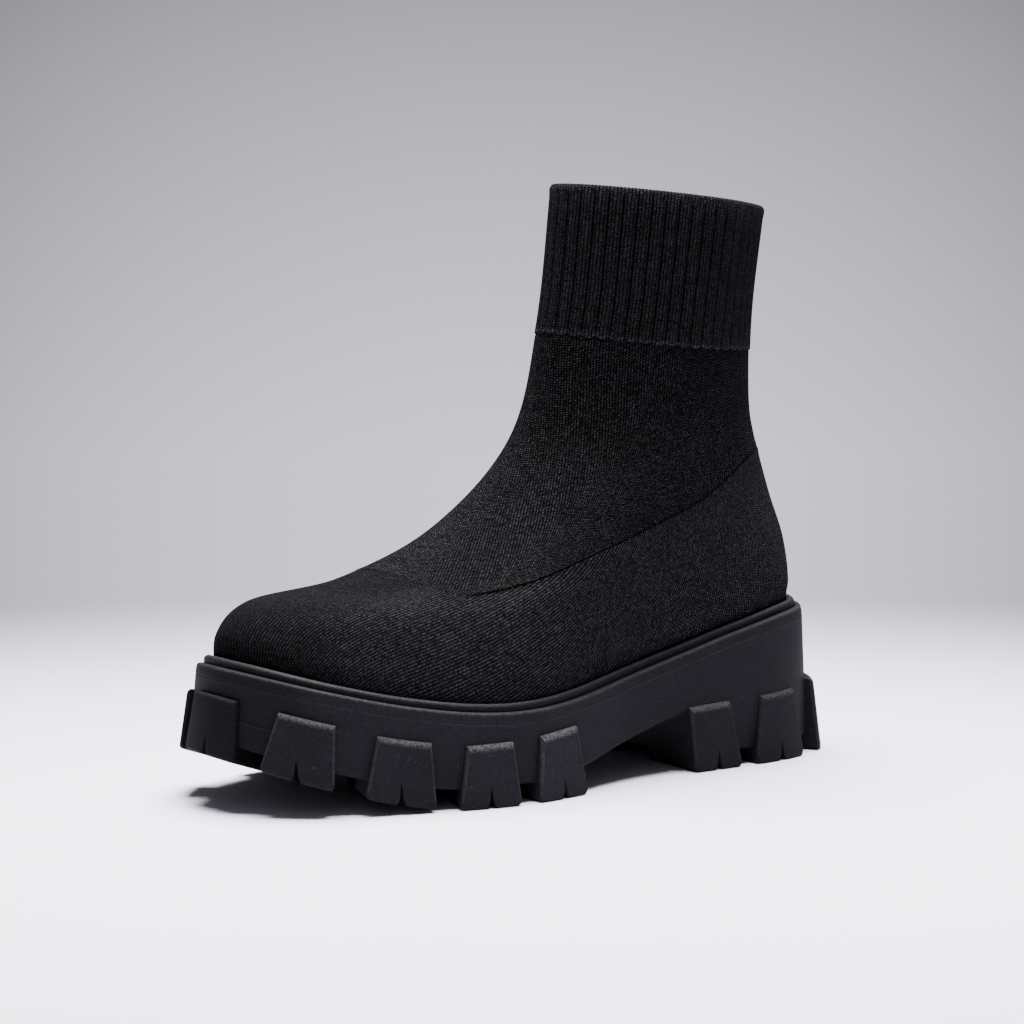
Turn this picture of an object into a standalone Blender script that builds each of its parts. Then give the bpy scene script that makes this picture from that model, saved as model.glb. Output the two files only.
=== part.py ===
"""Knit sock ankle boot on a lugged platform sole, for the left foot.

The boot stands on its sole with the toe along +X, the wearer's left along +Y and the floor at Z = 0.
Every form comes from one idea: a closed loop round the foot.  The angle of a loop runs from the heel
tip (0) along the left side to the toe tip (half a turn) and back along the right side.  The sole stacks
grown copies of the rim's loop, the upper stacks the loops of its level table, and welt and insole lie
between them.  Sizes below are in millimetres, and the finished meshes are in metres.
"""
from collections import namedtuple

import bmesh
import bpy
import numpy as np

MM = 0.001

# Plan of a foot loop: widths act at these stations, and heel and toe are rounder than an ellipse's ends
WIDTH_STATIONS = (0.0, 0.12, 0.42, 0.68, 0.92, 1.0)
ROUND_SPAN = 0.25
HEEL_ROUND = 0.45
TOE_ROUND = 0.40
SIDE_SHEAR = 0.03

# Plan of the sole's rim: half widths at heel, waist, ball and toe, and the left foot's inward swing
RIM_LENGTH = 270.0
RIM_HALF_WIDTHS = (50.0, 42.5, 59.5, 60.0)
SWING = 6.0
SWING_START = 110.0
SWING_SPAN = 160.0

# Height of the rim along the foot, from heel (0) to toe (1)
RIM_STATIONS = (0.0, 0.1, 0.2, 0.3, 0.4, 0.5, 0.6, 0.7, 0.8, 0.9, 1.0)
RIM_HEIGHTS = (60.5, 58.8, 53.8, 47.4, 41.3, 36.6, 34.5, 35.3, 39.2, 45.4, 52.7)

# Tread line: flat up to the tread break, then toe spring
TREAD_BREAK = 196.0
TOE_SPRING_END = 275.0
TOE_SPRING = 20.0
TOE_SPRING_POWER = 1.6

# Underside of the platform between the lugs, heel breast and arch
HEEL_RECESS = 6.0
FORE_RECESS = 7.0
BREAST_STATION = 0.298
BREAST_WIDTH = 0.006
ARCH_TOP = 24.0
ARCH_END_STATION = 0.55

# Side of the sole: draft, foot chamfer, parting groove, rim band, lip and the ledge inside it
WALL_DRAFT = 2.4
FOOT_CHAMFER = 1.8
GROOVE_DROP = 4.2
GROOVE_HALF = 0.45
GROOVE_DEPTH = 0.7
RIM_BEVEL = 1.3
LIP_WIDTH = 2.5
LEDGE_DROP = 2.2

# Lugs: wedges that follow the rim and lean out towards the floor, with a bevelled face and a notch in the foot
LUG_FACE_FOOT = 7.0
LUG_FACE_TOP = 3.4
LUG_BEVEL = 1.4
LUG_CORNER = 2.0
LUG_INNER_TAPER = 0.75
WIDE_LUG = 29.0
NOTCH_HALF_WIDTH = 1.7
NOTCH_HEIGHT = 6.5

# station: share of the half rim, from heel tip to toe tip; reach: length inwards under the sole
# skew: how far the top lies towards the heel from the foot; tilt: rise of the top's heel end, fall of its toe end
# stand: how much further out the face lies; sides: where the lug is found (+1 left, -1 right)
Lug = namedtuple("Lug", "name station foot_width top_width height reach skew tilt stand sides")
BOTH = (1, -1)
LUGS = (
    Lug("heel_back", 0.056, 26.0, 19.5, 29.5, 15.0, 0.0, 0.3, 1.8, BOTH),
    Lug("heel_side", 0.173, 28.0, 19.8, 27.5, 22.0, 1.6, 0.5, 0.0, BOTH),
    Lug("heel_front", 0.277, 24.8, 21.0, 26.2, 27.0, -1.9, 0.4, 0.0, BOTH),
    Lug("waist", 0.551, 25.0, 19.2, 25.4, 28.0, 0.8, 0.9, 0.0, BOTH),
    Lug("ball_back", 0.650, 24.4, 18.8, 23.7, 30.0, 1.3, 0.2, 0.0, BOTH),
    Lug("ball_front", 0.757, 27.2, 21.0, 24.6, 30.0, 2.3, 0.0, 0.0, BOTH),
    Lug("toe_side", 0.872, 25.4, 20.5, 24.8, 28.0, 3.4, 0.3, 0.0, (1,)),
    Lug("toe_inner", 0.902, 25.4, 21.5, 24.8, 28.0, 1.0, 0.3, 0.0, (-1,)),
    Lug("toe_tip", 0.986, 29.4, 26.3, 24.2, 26.0, 0.0, 0.0, 0.0, (1,)),
)
# Low bars along the middle of the tread: place along the foot, length, half width
CENTRE_BARS = ((47.0, 28.0, 8.0), (160.0, 18.0, 17.0), (187.0, 18.0, 17.0), (214.0, 16.0, 15.0))
CENTRE_BAR_GAP = 1.5

# Welt bead in the groove between lip and upper
WELT_RISE = 2.9
WELT_ROUND = 1.75
WELT_SIDES = 8

# Upper: a level is a closed loop with its heel end (back), its front end and half widths on the way
# Behind the bead, up to BEAD_LEVEL, it keeps an even inset from the rim
UPPER_INSET = 6.4
BEAD_LEVEL = 0.04
FREE_LEVEL = 0.10
PIECE_GAP = 0.3
DIP_FADE = 0.55
DIP_FADE_POWER = 1.5
ROUND_FADE = 0.60
Level = namedtuple("Level", "v back_x back_z front_x front_z heel waist ball toe")
LEVELS = (
    Level(0.00, 6.4, 57.1, 263.6, 51.6, 43.6, 36.1, 53.1, 53.6),
    Level(0.10, 5.0, 70.5, 263.5, 64.0, 45.5, 39.0, 52.5, 50.5),
    Level(0.22, 7.0, 88.0, 252.0, 75.0, 44.5, 39.5, 48.5, 45.0),
    Level(0.36, 13.5, 107.0, 216.5, 80.0, 41.0, 38.0, 42.0, 38.0),
    Level(0.52, 20.0, 129.5, 173.0, 97.0, 36.5, 36.0, 36.0, 32.5),
    Level(0.68, 24.0, 150.0, 135.0, 132.0, 34.0, 33.5, 32.5, 30.5),
    Level(0.84, 23.0, 183.0, 121.0, 178.5, 32.0, 32.0, 31.0, 30.0),
    Level(1.00, 17.0, 224.0, 114.0, 234.0, 32.0, 32.5, 31.0, 29.5),
)
# Seam between vamp and sock, and foot of the ribbed cuff, as levels along the foot
SEAM_STATIONS = (0.0, 0.15, 0.28, 0.46, 0.61, 0.70, 0.77, 0.87, 1.0)
SEAM_LEVELS = (0.505, 0.486, 0.438, 0.402, 0.360, 0.318, 0.301, 0.348, 0.42)
CUFF_BACK_LEVEL = 0.767
CUFF_FRONT_LEVEL = 0.830
STEP_HALF = 0.004

# Wall of the knit, and how far each panel stands off the level surface
KNIT_WALL = 2.0
VAMP_STAND = -0.3
SOCK_STAND = 0.2
CUFF_STAND = 0.7
HEM_BEVEL = 0.6

# Rows of the upper's mesh inside each panel, as shares of the panel's height
VAMP_ROWS = (0.0, 0.12, 0.28, 0.46, 0.64, 0.82)
SOCK_ROWS = (0.16, 0.34, 0.52, 0.70, 0.86)
CUFF_ROWS = (0.34, 0.68)

INSOLE_THICKNESS = 4.0
INSOLE_ROUND = 1.0
INSOLE_SIDE_GAP = 0.5

SOLE_SEGMENTS = 96
UPPER_SEGMENTS = 72
RIM_WALK_SEGMENTS = 1440
SLOPE_STEP = 1e-4
SMOOTH_ANGLE = np.radians(32.0)


def smooth_curve(knots, values, at):
    """Curve through a table: cubic pieces whose slopes are the central differences of the table."""
    knots = np.asarray(knots, float)
    values = np.asarray(values, float)
    slopes = np.gradient(values, knots)
    i = np.clip(np.searchsorted(knots, at) - 1, 0, len(knots) - 2)
    width = knots[i + 1] - knots[i]
    t = np.clip((at - knots[i]) / width, 0.0, 1.0)
    start = values[i] * (1 + 2 * t) + slopes[i] * width * t
    end = values[i + 1] * (3 - 2 * t) + slopes[i + 1] * width * (t - 1)
    return start * (1 - t) ** 2 + end * t ** 2


def foot_station(angle):
    """Share of a loop's length at an angle: 0 at the heel tip, 1 at the toe tip."""
    return (1 - np.cos(angle)) / 2


def plan_loop(angle, back, front, half_widths, roundness):
    """Plan of a foot loop: half width times the sine of the angle, sheared and swung for the left foot.

    Near heel and toe the half width grows by up to HEEL_ROUND and TOE_ROUND times the roundness.
    """
    station = foot_station(angle)
    heel, waist, ball, toe = half_widths
    sheared = np.clip(station + np.sign(np.sin(angle)) * SIDE_SHEAR * np.sin(angle) ** 2, 0.0, 1.0)
    half = 0.0
    for width, unit in zip((heel, heel, waist, ball, toe, toe), np.eye(len(WIDTH_STATIONS))):
        half = half + width * smooth_curve(WIDTH_STATIONS, unit, sheared)
    heel_end = np.clip(1 - station / ROUND_SPAN, 0.0, 1.0) ** 2
    toe_end = np.clip(1 - (1 - station) / ROUND_SPAN, 0.0, 1.0) ** 2
    half = half * (1 + roundness * (HEEL_ROUND * heel_end + TOE_ROUND * toe_end))
    x = back + (front - back) * station
    y = half * np.sin(angle) - SWING * np.clip((x - SWING_START) / SWING_SPAN, 0.0, None) ** 2
    return x, y


def loop_normals(x, y):
    """Outward unit normals of a closed plan loop that runs clockwise seen from above."""
    tangent_x = np.roll(x, -1) - np.roll(x, 1)
    tangent_y = np.roll(y, -1) - np.roll(y, 1)
    length = np.hypot(tangent_x, tangent_y)
    return -tangent_y / length, tangent_x / length


def rim_loop(angle, grow):
    """Plan of the rim, grown outwards by a distance (inwards where it is negative)."""
    x, y = plan_loop(angle, 0.0, RIM_LENGTH, RIM_HALF_WIDTHS, 1.0)
    normal_x, normal_y = loop_normals(x, y)
    return x + grow * normal_x, y + grow * normal_y


def rim_height(station):
    return smooth_curve(RIM_STATIONS, RIM_HEIGHTS, station)


def rim_dip(station):
    """How far the rim lies under the straight line from its heel to its toe."""
    return rim_height(station) - (RIM_HEIGHTS[0] + (RIM_HEIGHTS[-1] - RIM_HEIGHTS[0]) * station)


def tread_height(x):
    """Height of the tread over the floor: nothing up to the tread break, then the toe spring's curve."""
    past = np.clip((x - TREAD_BREAK) / (TOE_SPRING_END - TREAD_BREAK), 0.0, None)
    return TOE_SPRING * past ** TOE_SPRING_POWER


def underside_height(station):
    """Underside between the lugs: heel recess, step of the heel breast, sloping arch, forefoot recess."""
    arch_run = (station - BREAST_STATION) / (ARCH_END_STATION - BREAST_STATION)
    arch = ARCH_TOP + (FORE_RECESS - ARCH_TOP) * np.clip(arch_run, 0.0, 1.0)
    fore = arch + tread_height(station * RIM_LENGTH)
    return np.where(station < BREAST_STATION, HEEL_RECESS, fore)


def even_angles(count):
    return np.arange(count) * 2 * np.pi / count


def sole_angles():
    """Even angles, with two close pairs more where the heel breast steps down."""
    stations = (BREAST_STATION - BREAST_WIDTH / 2, BREAST_STATION + BREAST_WIDTH / 2)
    breast = [np.arccos(1 - 2 * station) for station in stations]
    return np.sort(np.concatenate([even_angles(SOLE_SEGMENTS), breast, [2 * np.pi - a for a in breast]]))


def stack_faces(rows, count, closed_rows):
    """Quads of a stack of closed loops; with closed_rows the last loop joins the first."""
    faces = []
    for row in range(rows if closed_rows else rows - 1):
        low = row * count
        high = (row + 1) % rows * count
        for i in range(count):
            j = (i + 1) % count
            faces.append((low + i, low + j, high + j, high + i))
    return faces


def cap_faces(first, count):
    """Strips across a loop from left to right, between points that share a station."""
    half = count // 2
    faces = [(first, first + 1, first + count - 1)]
    for i in range(1, half - 1):
        faces.append((first + i, first + i + 1, first + count - i - 1, first + count - i))
    faces.append((first + half - 1, first + half, first + half + 1))
    return faces


def material(name, color, roughness):
    made = bpy.data.materials.new(name)
    made.use_nodes = True
    shader = made.node_tree.nodes["Principled BSDF"]
    shader.inputs["Base Color"].default_value = (*color, 1.0)
    shader.inputs["Roughness"].default_value = roughness
    shader.inputs["Metallic"].default_value = 0.0
    return made


def mesh_object(name, points, faces, look=None):
    """Object from points in millimetres, with triangles that point outwards and smooth shading."""
    mesh = bpy.data.meshes.new(name)
    mesh.from_pydata([tuple(point) for point in np.asarray(points) * MM], [], faces)
    shape = bmesh.new()
    shape.from_mesh(mesh)
    bmesh.ops.triangulate(shape, faces=shape.faces[:])
    bmesh.ops.recalc_face_normals(shape, faces=shape.faces[:])
    shape.to_mesh(mesh)
    shape.free()
    mesh.shade_smooth()
    mesh.set_sharp_from_angle(angle=SMOOTH_ANGLE)
    if look:
        mesh.materials.append(look)
    made = bpy.data.objects.new(name, mesh)
    bpy.context.collection.objects.link(made)
    return made


def sole_body():
    """Platform without its lugs: grown rim loops from the underside up over the lip to the ledge."""
    angle = sole_angles()
    station = foot_station(angle)
    under = underside_height(station)
    rim = rim_height(station)
    groove = rim - GROOVE_DROP
    profile = (
        (WALL_DRAFT - FOOT_CHAMFER, under),
        (WALL_DRAFT, under + FOOT_CHAMFER),
        (GROOVE_HALF, groove - GROOVE_HALF),
        (GROOVE_HALF - GROOVE_DEPTH, groove),
        (GROOVE_HALF, groove + GROOVE_HALF),
        (0.0, rim - RIM_BEVEL),
        (-RIM_BEVEL, rim),
        (-LIP_WIDTH, rim),
        (-LIP_WIDTH, rim - LEDGE_DROP),
    )
    loops = [np.stack([*rim_loop(angle, grow), height], axis=1) for grow, height in profile]
    count = len(angle)
    faces = stack_faces(len(loops), count, closed_rows=False)
    faces += cap_faces(0, count)
    faces += cap_faces((len(loops) - 1) * count, count)
    return np.concatenate(loops), faces


def inset_polygon(points, distance):
    """Polygon moved inwards by a distance on every side, for points that run anticlockwise."""
    edge = np.roll(points, -1, axis=0) - points
    edge /= np.linalg.norm(edge, axis=1)[:, None]
    inward = np.stack([-edge[:, 1], edge[:, 0]], axis=1)
    before = np.roll(inward, 1, axis=0)
    share = 1 + (before * inward).sum(axis=1)
    return points + distance * (before + inward) / share[:, None]


def lug_outline(lug):
    """Face of a lug in columns from its toe side to its heel side: the lower points, then the upper ones back.

    A trapezoid on its wider side, with cut corners and a notch in the middle of the foot.  A wide lug has
    one column more on each side, where it bends round the toe.
    """
    foot = lug.foot_width / 2
    cut = LUG_CORNER / lug.height
    edge = np.array((-1.0, 1.0))
    shoulder = edge * foot + (edge * (lug.top_width / 2 - foot) + lug.skew) * cut
    bends = (foot / 2,) if lug.foot_width > WIDE_LUG else ()
    level = np.array((NOTCH_HALF_WIDTH, *bends, foot - LUG_CORNER))
    lower = np.array((
        (shoulder[0], LUG_CORNER),
        *((-place, 0.0) for place in level[::-1]),
        (0.0, NOTCH_HEIGHT),
        *((place, 0.0) for place in level),
        (shoulder[1], LUG_CORNER),
    ))
    across = 2 * (lower[:, 0] - shoulder[0]) / (shoulder[1] - shoulder[0]) - 1
    upper = np.column_stack([lug.skew + across * lug.top_width / 2, lug.height + across * lug.tilt])
    return np.concatenate([lower, upper[::-1]])


def beside_rim(share, along, out, side):
    """Plan points beside the rim: lengths towards the heel from a share of its half, and distances out from it.

    The rim is walked from the heel tip round one side (+1 left), past the toe tip and on.
    """
    angle = even_angles(RIM_WALK_SEGMENTS)
    x, y = rim_loop(angle, 0.0)
    walk = np.column_stack([x, y, *loop_normals(x, y)])
    order = side * np.arange(len(angle) + 1) % len(angle)
    walk = walk[order]
    run = np.concatenate([[0.0], np.cumsum(np.hypot(*np.diff(walk[:, :2], axis=0).T))])
    place = share * run[len(angle) // 2] - along
    rim_x, rim_y, normal_x, normal_y = [np.interp(place, run, column) for column in walk.T]
    return np.column_stack([rim_x + out * normal_x, rim_y + out * normal_y])


def lug_points(lug, side):
    """Three rings of a lug: its inner end, the shoulder of its face and the bevelled face itself."""
    outline = lug_outline(lug)
    face = inset_polygon(outline, LUG_BEVEL)

    def lean(ring):
        return lug.stand + LUG_FACE_FOOT + (LUG_FACE_TOP - LUG_FACE_FOOT) * ring[:, 1] / lug.height

    tapered = outline * (LUG_INNER_TAPER, 1.0)
    rings = (
        (tapered, np.full(len(outline), -lug.reach)),
        (outline, lean(outline) - LUG_BEVEL),
        (face, lean(face)),
    )
    points = []
    for ring, out in rings:
        plan = beside_rim(lug.station, ring[:, 0], out, side)
        points.append(np.column_stack([plan, tread_height(plan[:, 0]) + ring[:, 1]]))
    sides = len(outline)
    faces = stack_faces(len(rings), sides, closed_rows=False)
    for first in (0, (len(rings) - 1) * sides):
        for i in range(sides // 2 - 1):
            faces.append((first + i, first + i + 1, first + sides - 2 - i, first + sides - 1 - i))
    return np.concatenate(points), faces


def centre_bar_points(place, length, half_width):
    """Low bar in the middle of the tread: a block from just over the tread line up into the sole."""
    middle_y = -SWING * max(0.0, (place - SWING_START) / SWING_SPAN) ** 2
    foot = tread_height(place) + CENTRE_BAR_GAP
    top = foot + HEEL_RECESS + FORE_RECESS
    points = []
    for z in (foot, top):
        for along, across in ((-1, -1), (1, -1), (1, 1), (-1, 1)):
            points.append((place + along * length / 2, middle_y + across * half_width, z))
    faces = stack_faces(2, 4, closed_rows=False) + [(0, 1, 2, 3), (4, 5, 6, 7)]
    return np.array(points), faces


def level_values(level):
    """The level table's columns, smoothly read at any level."""
    knots = [row.v for row in LEVELS]
    columns = list(zip(*LEVELS))[1:]
    return [smooth_curve(knots, column, level) for column in columns]


def level_surface(angle, level):
    """Point of the upper at an angle and a level, both arrays of one shape.

    The level's loop runs from its back end to its front end on a slope, dips with the rim where it
    is low, and has the plan of a foot loop with the level's own half widths.  Behind the bead the
    plan is the rim's own, inset.
    """
    back_x, back_z, front_x, front_z, *half_widths = level_values(level)
    station = foot_station(angle)
    roundness = np.clip(1 - level / ROUND_FADE, 0.0, 1.0)
    x, y = plan_loop(angle, back_x, front_x, half_widths, roundness)
    feather_x, feather_y = rim_loop(angle, -UPPER_INSET)
    free = np.clip((level - BEAD_LEVEL) / (FREE_LEVEL - BEAD_LEVEL), 0.0, 1.0)
    free = free * free * (3 - 2 * free)
    x = feather_x + free * (x - feather_x)
    y = feather_y + free * (y - feather_y)
    fade = np.clip(1 - level / DIP_FADE, 0.0, 1.0) ** DIP_FADE_POWER
    z = back_z + (front_z - back_z) * station + fade * rim_dip(station)
    return np.stack([x, y, z], axis=-1)


def surface_normals(angle, level):
    """Outward unit normals of the upper's level surface, from its slopes along angle and level."""
    along = level_surface(angle + SLOPE_STEP, level) - level_surface(angle - SLOPE_STEP, level)
    lower = np.clip(level - SLOPE_STEP, 0.0, 1.0)
    upper = np.clip(level + SLOPE_STEP, 0.0, 1.0)
    rising = level_surface(angle, upper) - level_surface(angle, lower)
    normal = np.cross(rising, along)
    return normal / np.linalg.norm(normal, axis=-1)[..., None]


def seam_level(angle):
    return smooth_curve(SEAM_STATIONS, SEAM_LEVELS, foot_station(angle))


def cuff_level(angle):
    return CUFF_BACK_LEVEL + (CUFF_FRONT_LEVEL - CUFF_BACK_LEVEL) * foot_station(angle)


def upper_rows(angle):
    """Levels and stand-off of the upper's rows: vamp, a step at the seam, sock, a step at the cuff, cuff."""
    seam = seam_level(angle)
    cuff = cuff_level(angle)
    rows = [(share * seam, VAMP_STAND) for share in VAMP_ROWS]
    rows += [(seam - STEP_HALF, VAMP_STAND), (seam + STEP_HALF, SOCK_STAND)]
    rows += [(seam + share * (cuff - seam), SOCK_STAND) for share in SOCK_ROWS]
    rows += [(cuff - STEP_HALF, SOCK_STAND), (cuff + STEP_HALF, CUFF_STAND)]
    rows += [(cuff + share * (1 - cuff), CUFF_STAND) for share in CUFF_ROWS]
    rows += [(np.ones_like(angle), CUFF_STAND)]
    return rows


def upper_points():
    """Hollow knit: the outer rows up to the hem, then the inner rows back down, joined at the feather edge."""
    angle = even_angles(UPPER_SEGMENTS)
    ledge = rim_height(foot_station(angle)) - LEDGE_DROP + PIECE_GAP
    outer = []
    inner = []
    for level, stand in upper_rows(angle):
        point = level_surface(angle, level)
        normal = surface_normals(angle, level)
        outer.append(point + stand * normal)
        inner.append(point - KNIT_WALL * normal)
    outer[0][:, 2] = ledge
    inner[0][:, 2] = ledge
    hem_normal = surface_normals(angle, np.ones_like(angle))
    hem = outer[-1] - HEM_BEVEL * hem_normal
    outer[-1] = outer[-1] - (0.0, 0.0, HEM_BEVEL)
    loops = outer + [hem] + inner[::-1]
    return np.concatenate(loops), stack_faces(len(loops), UPPER_SEGMENTS, closed_rows=True)


def welt_points():
    """Bead between lip and upper: an upright oval section whose width fills the groove less its gaps."""
    angle = even_angles(SOLE_SEGMENTS)
    rim = rim_height(foot_station(angle))
    foot = rim - LEDGE_DROP + PIECE_GAP
    outer = np.stack(rim_loop(angle, -LIP_WIDTH - PIECE_GAP), axis=1)
    inner = np.stack(rim_loop(angle, -UPPER_INSET + VAMP_STAND + PIECE_GAP), axis=1)
    shoulder = rim + WELT_RISE - WELT_ROUND
    section = [(outer, foot), (outer, shoulder)]
    for turn in np.linspace(0.0, np.pi, WELT_SIDES)[1:-1]:
        share = (1 + np.cos(turn)) / 2
        rise = shoulder + WELT_ROUND * np.sin(turn)
        section.append((inner + share * (outer - inner), rise))
    section += [(inner, shoulder), (inner, foot)]
    loops = [np.column_stack([plan, height]) for plan, height in section]
    return np.concatenate(loops), stack_faces(len(loops), SOLE_SEGMENTS, closed_rows=True)


def insole_points():
    """Footbed: a slab on the sole's ledge inside the feather edge, with a rounded top edge."""
    angle = even_angles(UPPER_SEGMENTS)
    foot = rim_height(foot_station(angle)) - LEDGE_DROP + PIECE_GAP
    inset = UPPER_INSET + KNIT_WALL + INSOLE_SIDE_GAP
    profile = (
        (inset, foot),
        (inset, foot + INSOLE_THICKNESS - INSOLE_ROUND),
        (inset + INSOLE_ROUND, foot + INSOLE_THICKNESS),
    )
    loops = [np.column_stack([*rim_loop(angle, -grow), height]) for grow, height in profile]
    faces = stack_faces(len(loops), UPPER_SEGMENTS, closed_rows=False)
    faces += cap_faces(0, UPPER_SEGMENTS)
    faces += cap_faces((len(loops) - 1) * UPPER_SEGMENTS, UPPER_SEGMENTS)
    return np.concatenate(loops), faces


def join_to(body, tool):
    """Keeps a union with a hidden tool on the body."""
    tool.hide_render = True
    tool.display_type = "WIRE"
    union = body.modifiers.new(tool.name, "BOOLEAN")
    union.operation = "UNION"
    union.solver = "EXACT"
    union.object = tool


def build_outsole(look):
    """Unit sole: the platform body with every lug and centre bar joined on."""
    points, faces = sole_body()
    sole = mesh_object("outsole", points, faces, look)
    tools = []
    reach = [points]
    for lug in LUGS:
        for side in lug.sides:
            lug_mesh = lug_points(lug, side)
            reach.append(lug_mesh[0])
            word = "left" if side > 0 else "right"
            tools.append(mesh_object(f"lug_{lug.name}_{word}", *lug_mesh))
    for number, bar in enumerate(CENTRE_BARS):
        tools.append(mesh_object(f"centre_bar_{number}", *centre_bar_points(*bar)))
    for tool in tools:
        join_to(sole, tool)
    return sole, tools, np.concatenate(reach)


def build():
    for old in list(bpy.data.objects):
        bpy.data.objects.remove(old)
    rubber = material("black rubber", (0.021, 0.020, 0.025), 0.55)
    bead = material("bead rubber", (0.030, 0.029, 0.034), 0.50)
    knit = material("black knit", (0.012, 0.012, 0.013), 0.90)
    footbed = material("footbed cloth", (0.020, 0.020, 0.021), 0.95)

    sole, tools, reach = build_outsole(rubber)
    pieces = [
        sole,
        mesh_object("welt", *welt_points(), bead),
        mesh_object("upper", *upper_points(), knit),
        mesh_object("insole", *insole_points(), footbed),
    ]
    # The boot's middle lies over the origin, on the floor
    middle = (reach.min(axis=0) + reach.max(axis=0)) / 2 * MM
    stand = bpy.data.objects.new("boot", None)
    stand.location = (-middle[0], -middle[1], 0.0)
    bpy.context.collection.objects.link(stand)
    for piece in pieces + tools:
        piece.parent = stand


build()
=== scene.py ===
"""Looks of a knit sock boot on a lugged platform sole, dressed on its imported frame.

Laid out as a Blender add-on and run as a script.  Every piece is a surface worked out with numpy from
the closed loops that shape the boot: the angle of a loop runs from the heel tip (0) along the left side
to the toe tip (half a turn) and back along the right side, and a level runs up the knit from its feather
edge (0) to the collar (1).  Tables are in millimetres, and the finished meshes are in metres.
"""
from collections import namedtuple

import bpy
import numpy as np
from bpy.props import FloatProperty, FloatVectorProperty, IntProperty, PointerProperty
from mathutils import Matrix, Vector


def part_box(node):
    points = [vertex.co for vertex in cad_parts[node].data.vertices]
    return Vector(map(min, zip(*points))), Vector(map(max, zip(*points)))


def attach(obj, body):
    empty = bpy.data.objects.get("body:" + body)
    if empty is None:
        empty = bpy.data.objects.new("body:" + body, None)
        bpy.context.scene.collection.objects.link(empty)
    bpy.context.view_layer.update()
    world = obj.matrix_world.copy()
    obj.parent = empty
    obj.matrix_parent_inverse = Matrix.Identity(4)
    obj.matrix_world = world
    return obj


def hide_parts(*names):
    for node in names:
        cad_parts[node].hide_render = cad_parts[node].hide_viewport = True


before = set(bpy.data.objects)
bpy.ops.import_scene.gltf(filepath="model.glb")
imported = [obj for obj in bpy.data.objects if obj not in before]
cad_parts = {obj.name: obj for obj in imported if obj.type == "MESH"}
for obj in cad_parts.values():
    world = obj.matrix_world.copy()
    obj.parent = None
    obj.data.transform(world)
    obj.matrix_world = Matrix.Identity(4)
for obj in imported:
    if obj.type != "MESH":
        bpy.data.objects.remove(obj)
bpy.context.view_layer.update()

bl_info = {
    "name": "Knit platform boot",
    "version": (1, 0, 0),
    "blender": (4, 5, 0),
    "location": "View3D > Sidebar > Boot",
    "description": "Dresses the packed boot: knit upper, ribbed cuff, bead, lugged sole, footbed and stage",
    "category": "Object",
}

MM = 0.001
IMAGE_SIDE = 1024
SENSOR_WIDTH = 36.0

# Plan of a foot loop: widths act at these stations, and heel and toe are rounder than an ellipse's ends
WIDTH_STATIONS = (0.0, 0.12, 0.42, 0.68, 0.92, 1.0)
ROUND_SPAN = 0.25
HEEL_ROUND = 0.45
TOE_ROUND = 0.40
SIDE_SHEAR = 0.03

# Plan of the sole's rim: half widths at heel, waist, ball and toe, and the left foot's inward swing
RIM_LENGTH = 270.0
RIM_HALF_WIDTHS = (50.0, 42.5, 59.5, 60.0)
SWING = 6.0
SWING_START = 110.0
SWING_SPAN = 160.0

# Height of the rim along the foot, from heel (0) to toe (1)
RIM_STATIONS = (0.0, 0.1, 0.2, 0.3, 0.4, 0.5, 0.6, 0.7, 0.8, 0.9, 1.0)
RIM_HEIGHTS = (60.5, 58.8, 53.8, 47.4, 41.3, 36.6, 34.5, 35.3, 39.2, 45.4, 52.7)

# Tread line: flat up to the tread break, then toe spring
TREAD_BREAK = 196.0
TOE_SPRING_END = 275.0
TOE_SPRING = 20.0
TOE_SPRING_POWER = 1.6

# Underside of the platform between the lugs, heel breast and arch
HEEL_RECESS = 6.0
FORE_RECESS = 7.0
BREAST_STATION = 0.298
BREAST_WIDTH = 0.006
ARCH_TOP = 24.0
ARCH_END_STATION = 0.55

# Side of the sole: draft, rounded foot, parting line, rim band, lip and the ledge inside it
WALL_DRAFT = 2.4
FOOT_ROUND = 1.8
PARTING_DROP = 4.2
PARTING_HALF = 0.28
PARTING_DEPTH = 0.18
PARTING_OUT = 0.45
FLASH_RISE = 0.07
RIM_BEVEL = 1.3
LIP_WIDTH = 2.5
LIP_ROUND = 0.35
LEDGE_DROP = 2.2

# Lugs: wedges that follow the rim and lean out towards the floor, with a sloped strip at the top
# and a notch in the foot
LUG_FACE_FOOT = 7.0
LUG_FACE_TOP = 3.4
LUG_SIDE_ROUND = 1.1
LUG_TOP_ROUND = 2.6
LUG_TOP_DEPTH = 2.2
LUG_ROUND_STEPS = 7
LUG_CORNER = 2.2
LUG_CORNER_STEPS = 4
LUG_BENDS = (0.3, 0.5, 0.7, 0.9)
LUG_INNER_TAPER = 0.75
NOTCH_HALF_WIDTH = 1.6
NOTCH_HEIGHT = 8.5
NOTCH_FLARE = 2.6
NOTCH_SLIT = 0.55
NOTCH_ROUND = 0.45

# Lighter scuffs and painted highlights on a lug's rings from its inner end to its face, along its top
# and its side edges, and lugs whose scuffs and highlights differ from the others'
LUG_TOP_WEAR_AND_LIGHT = (0.0, 0.3, 0.9, 1.0, 0.85, 0.55, 0.25, 0.0)
LUG_SIDE_WEAR_AND_LIGHT = 0.25
LUG_WEAR_AND_LIGHT_SHARES = {"toe_tip": 0.35, "toe_side": 1.1, "heel_back": 0.4, "heel_side": 0.6}
# Gain of the lugs' colour for scuffs and painted highlights
LUG_SCUFF_AND_HIGHLIGHT_GAIN = 1.35

# Painted shade and painted light in the rubber's colour: painted shade darkens the lugs, pad and wall
# round the toe, and painted light lightens the lugs behind the ball
LUG_PAINTED_SHADES = {"toe_tip": 0.54, "toe_inner": 0.54, "ball_back": -0.14, "waist": -0.28}
TOE_RUBBER_PAINTED_SHADE = 0.38
TOE_RUBBER_STATIONS = (0.91, 0.96)

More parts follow.
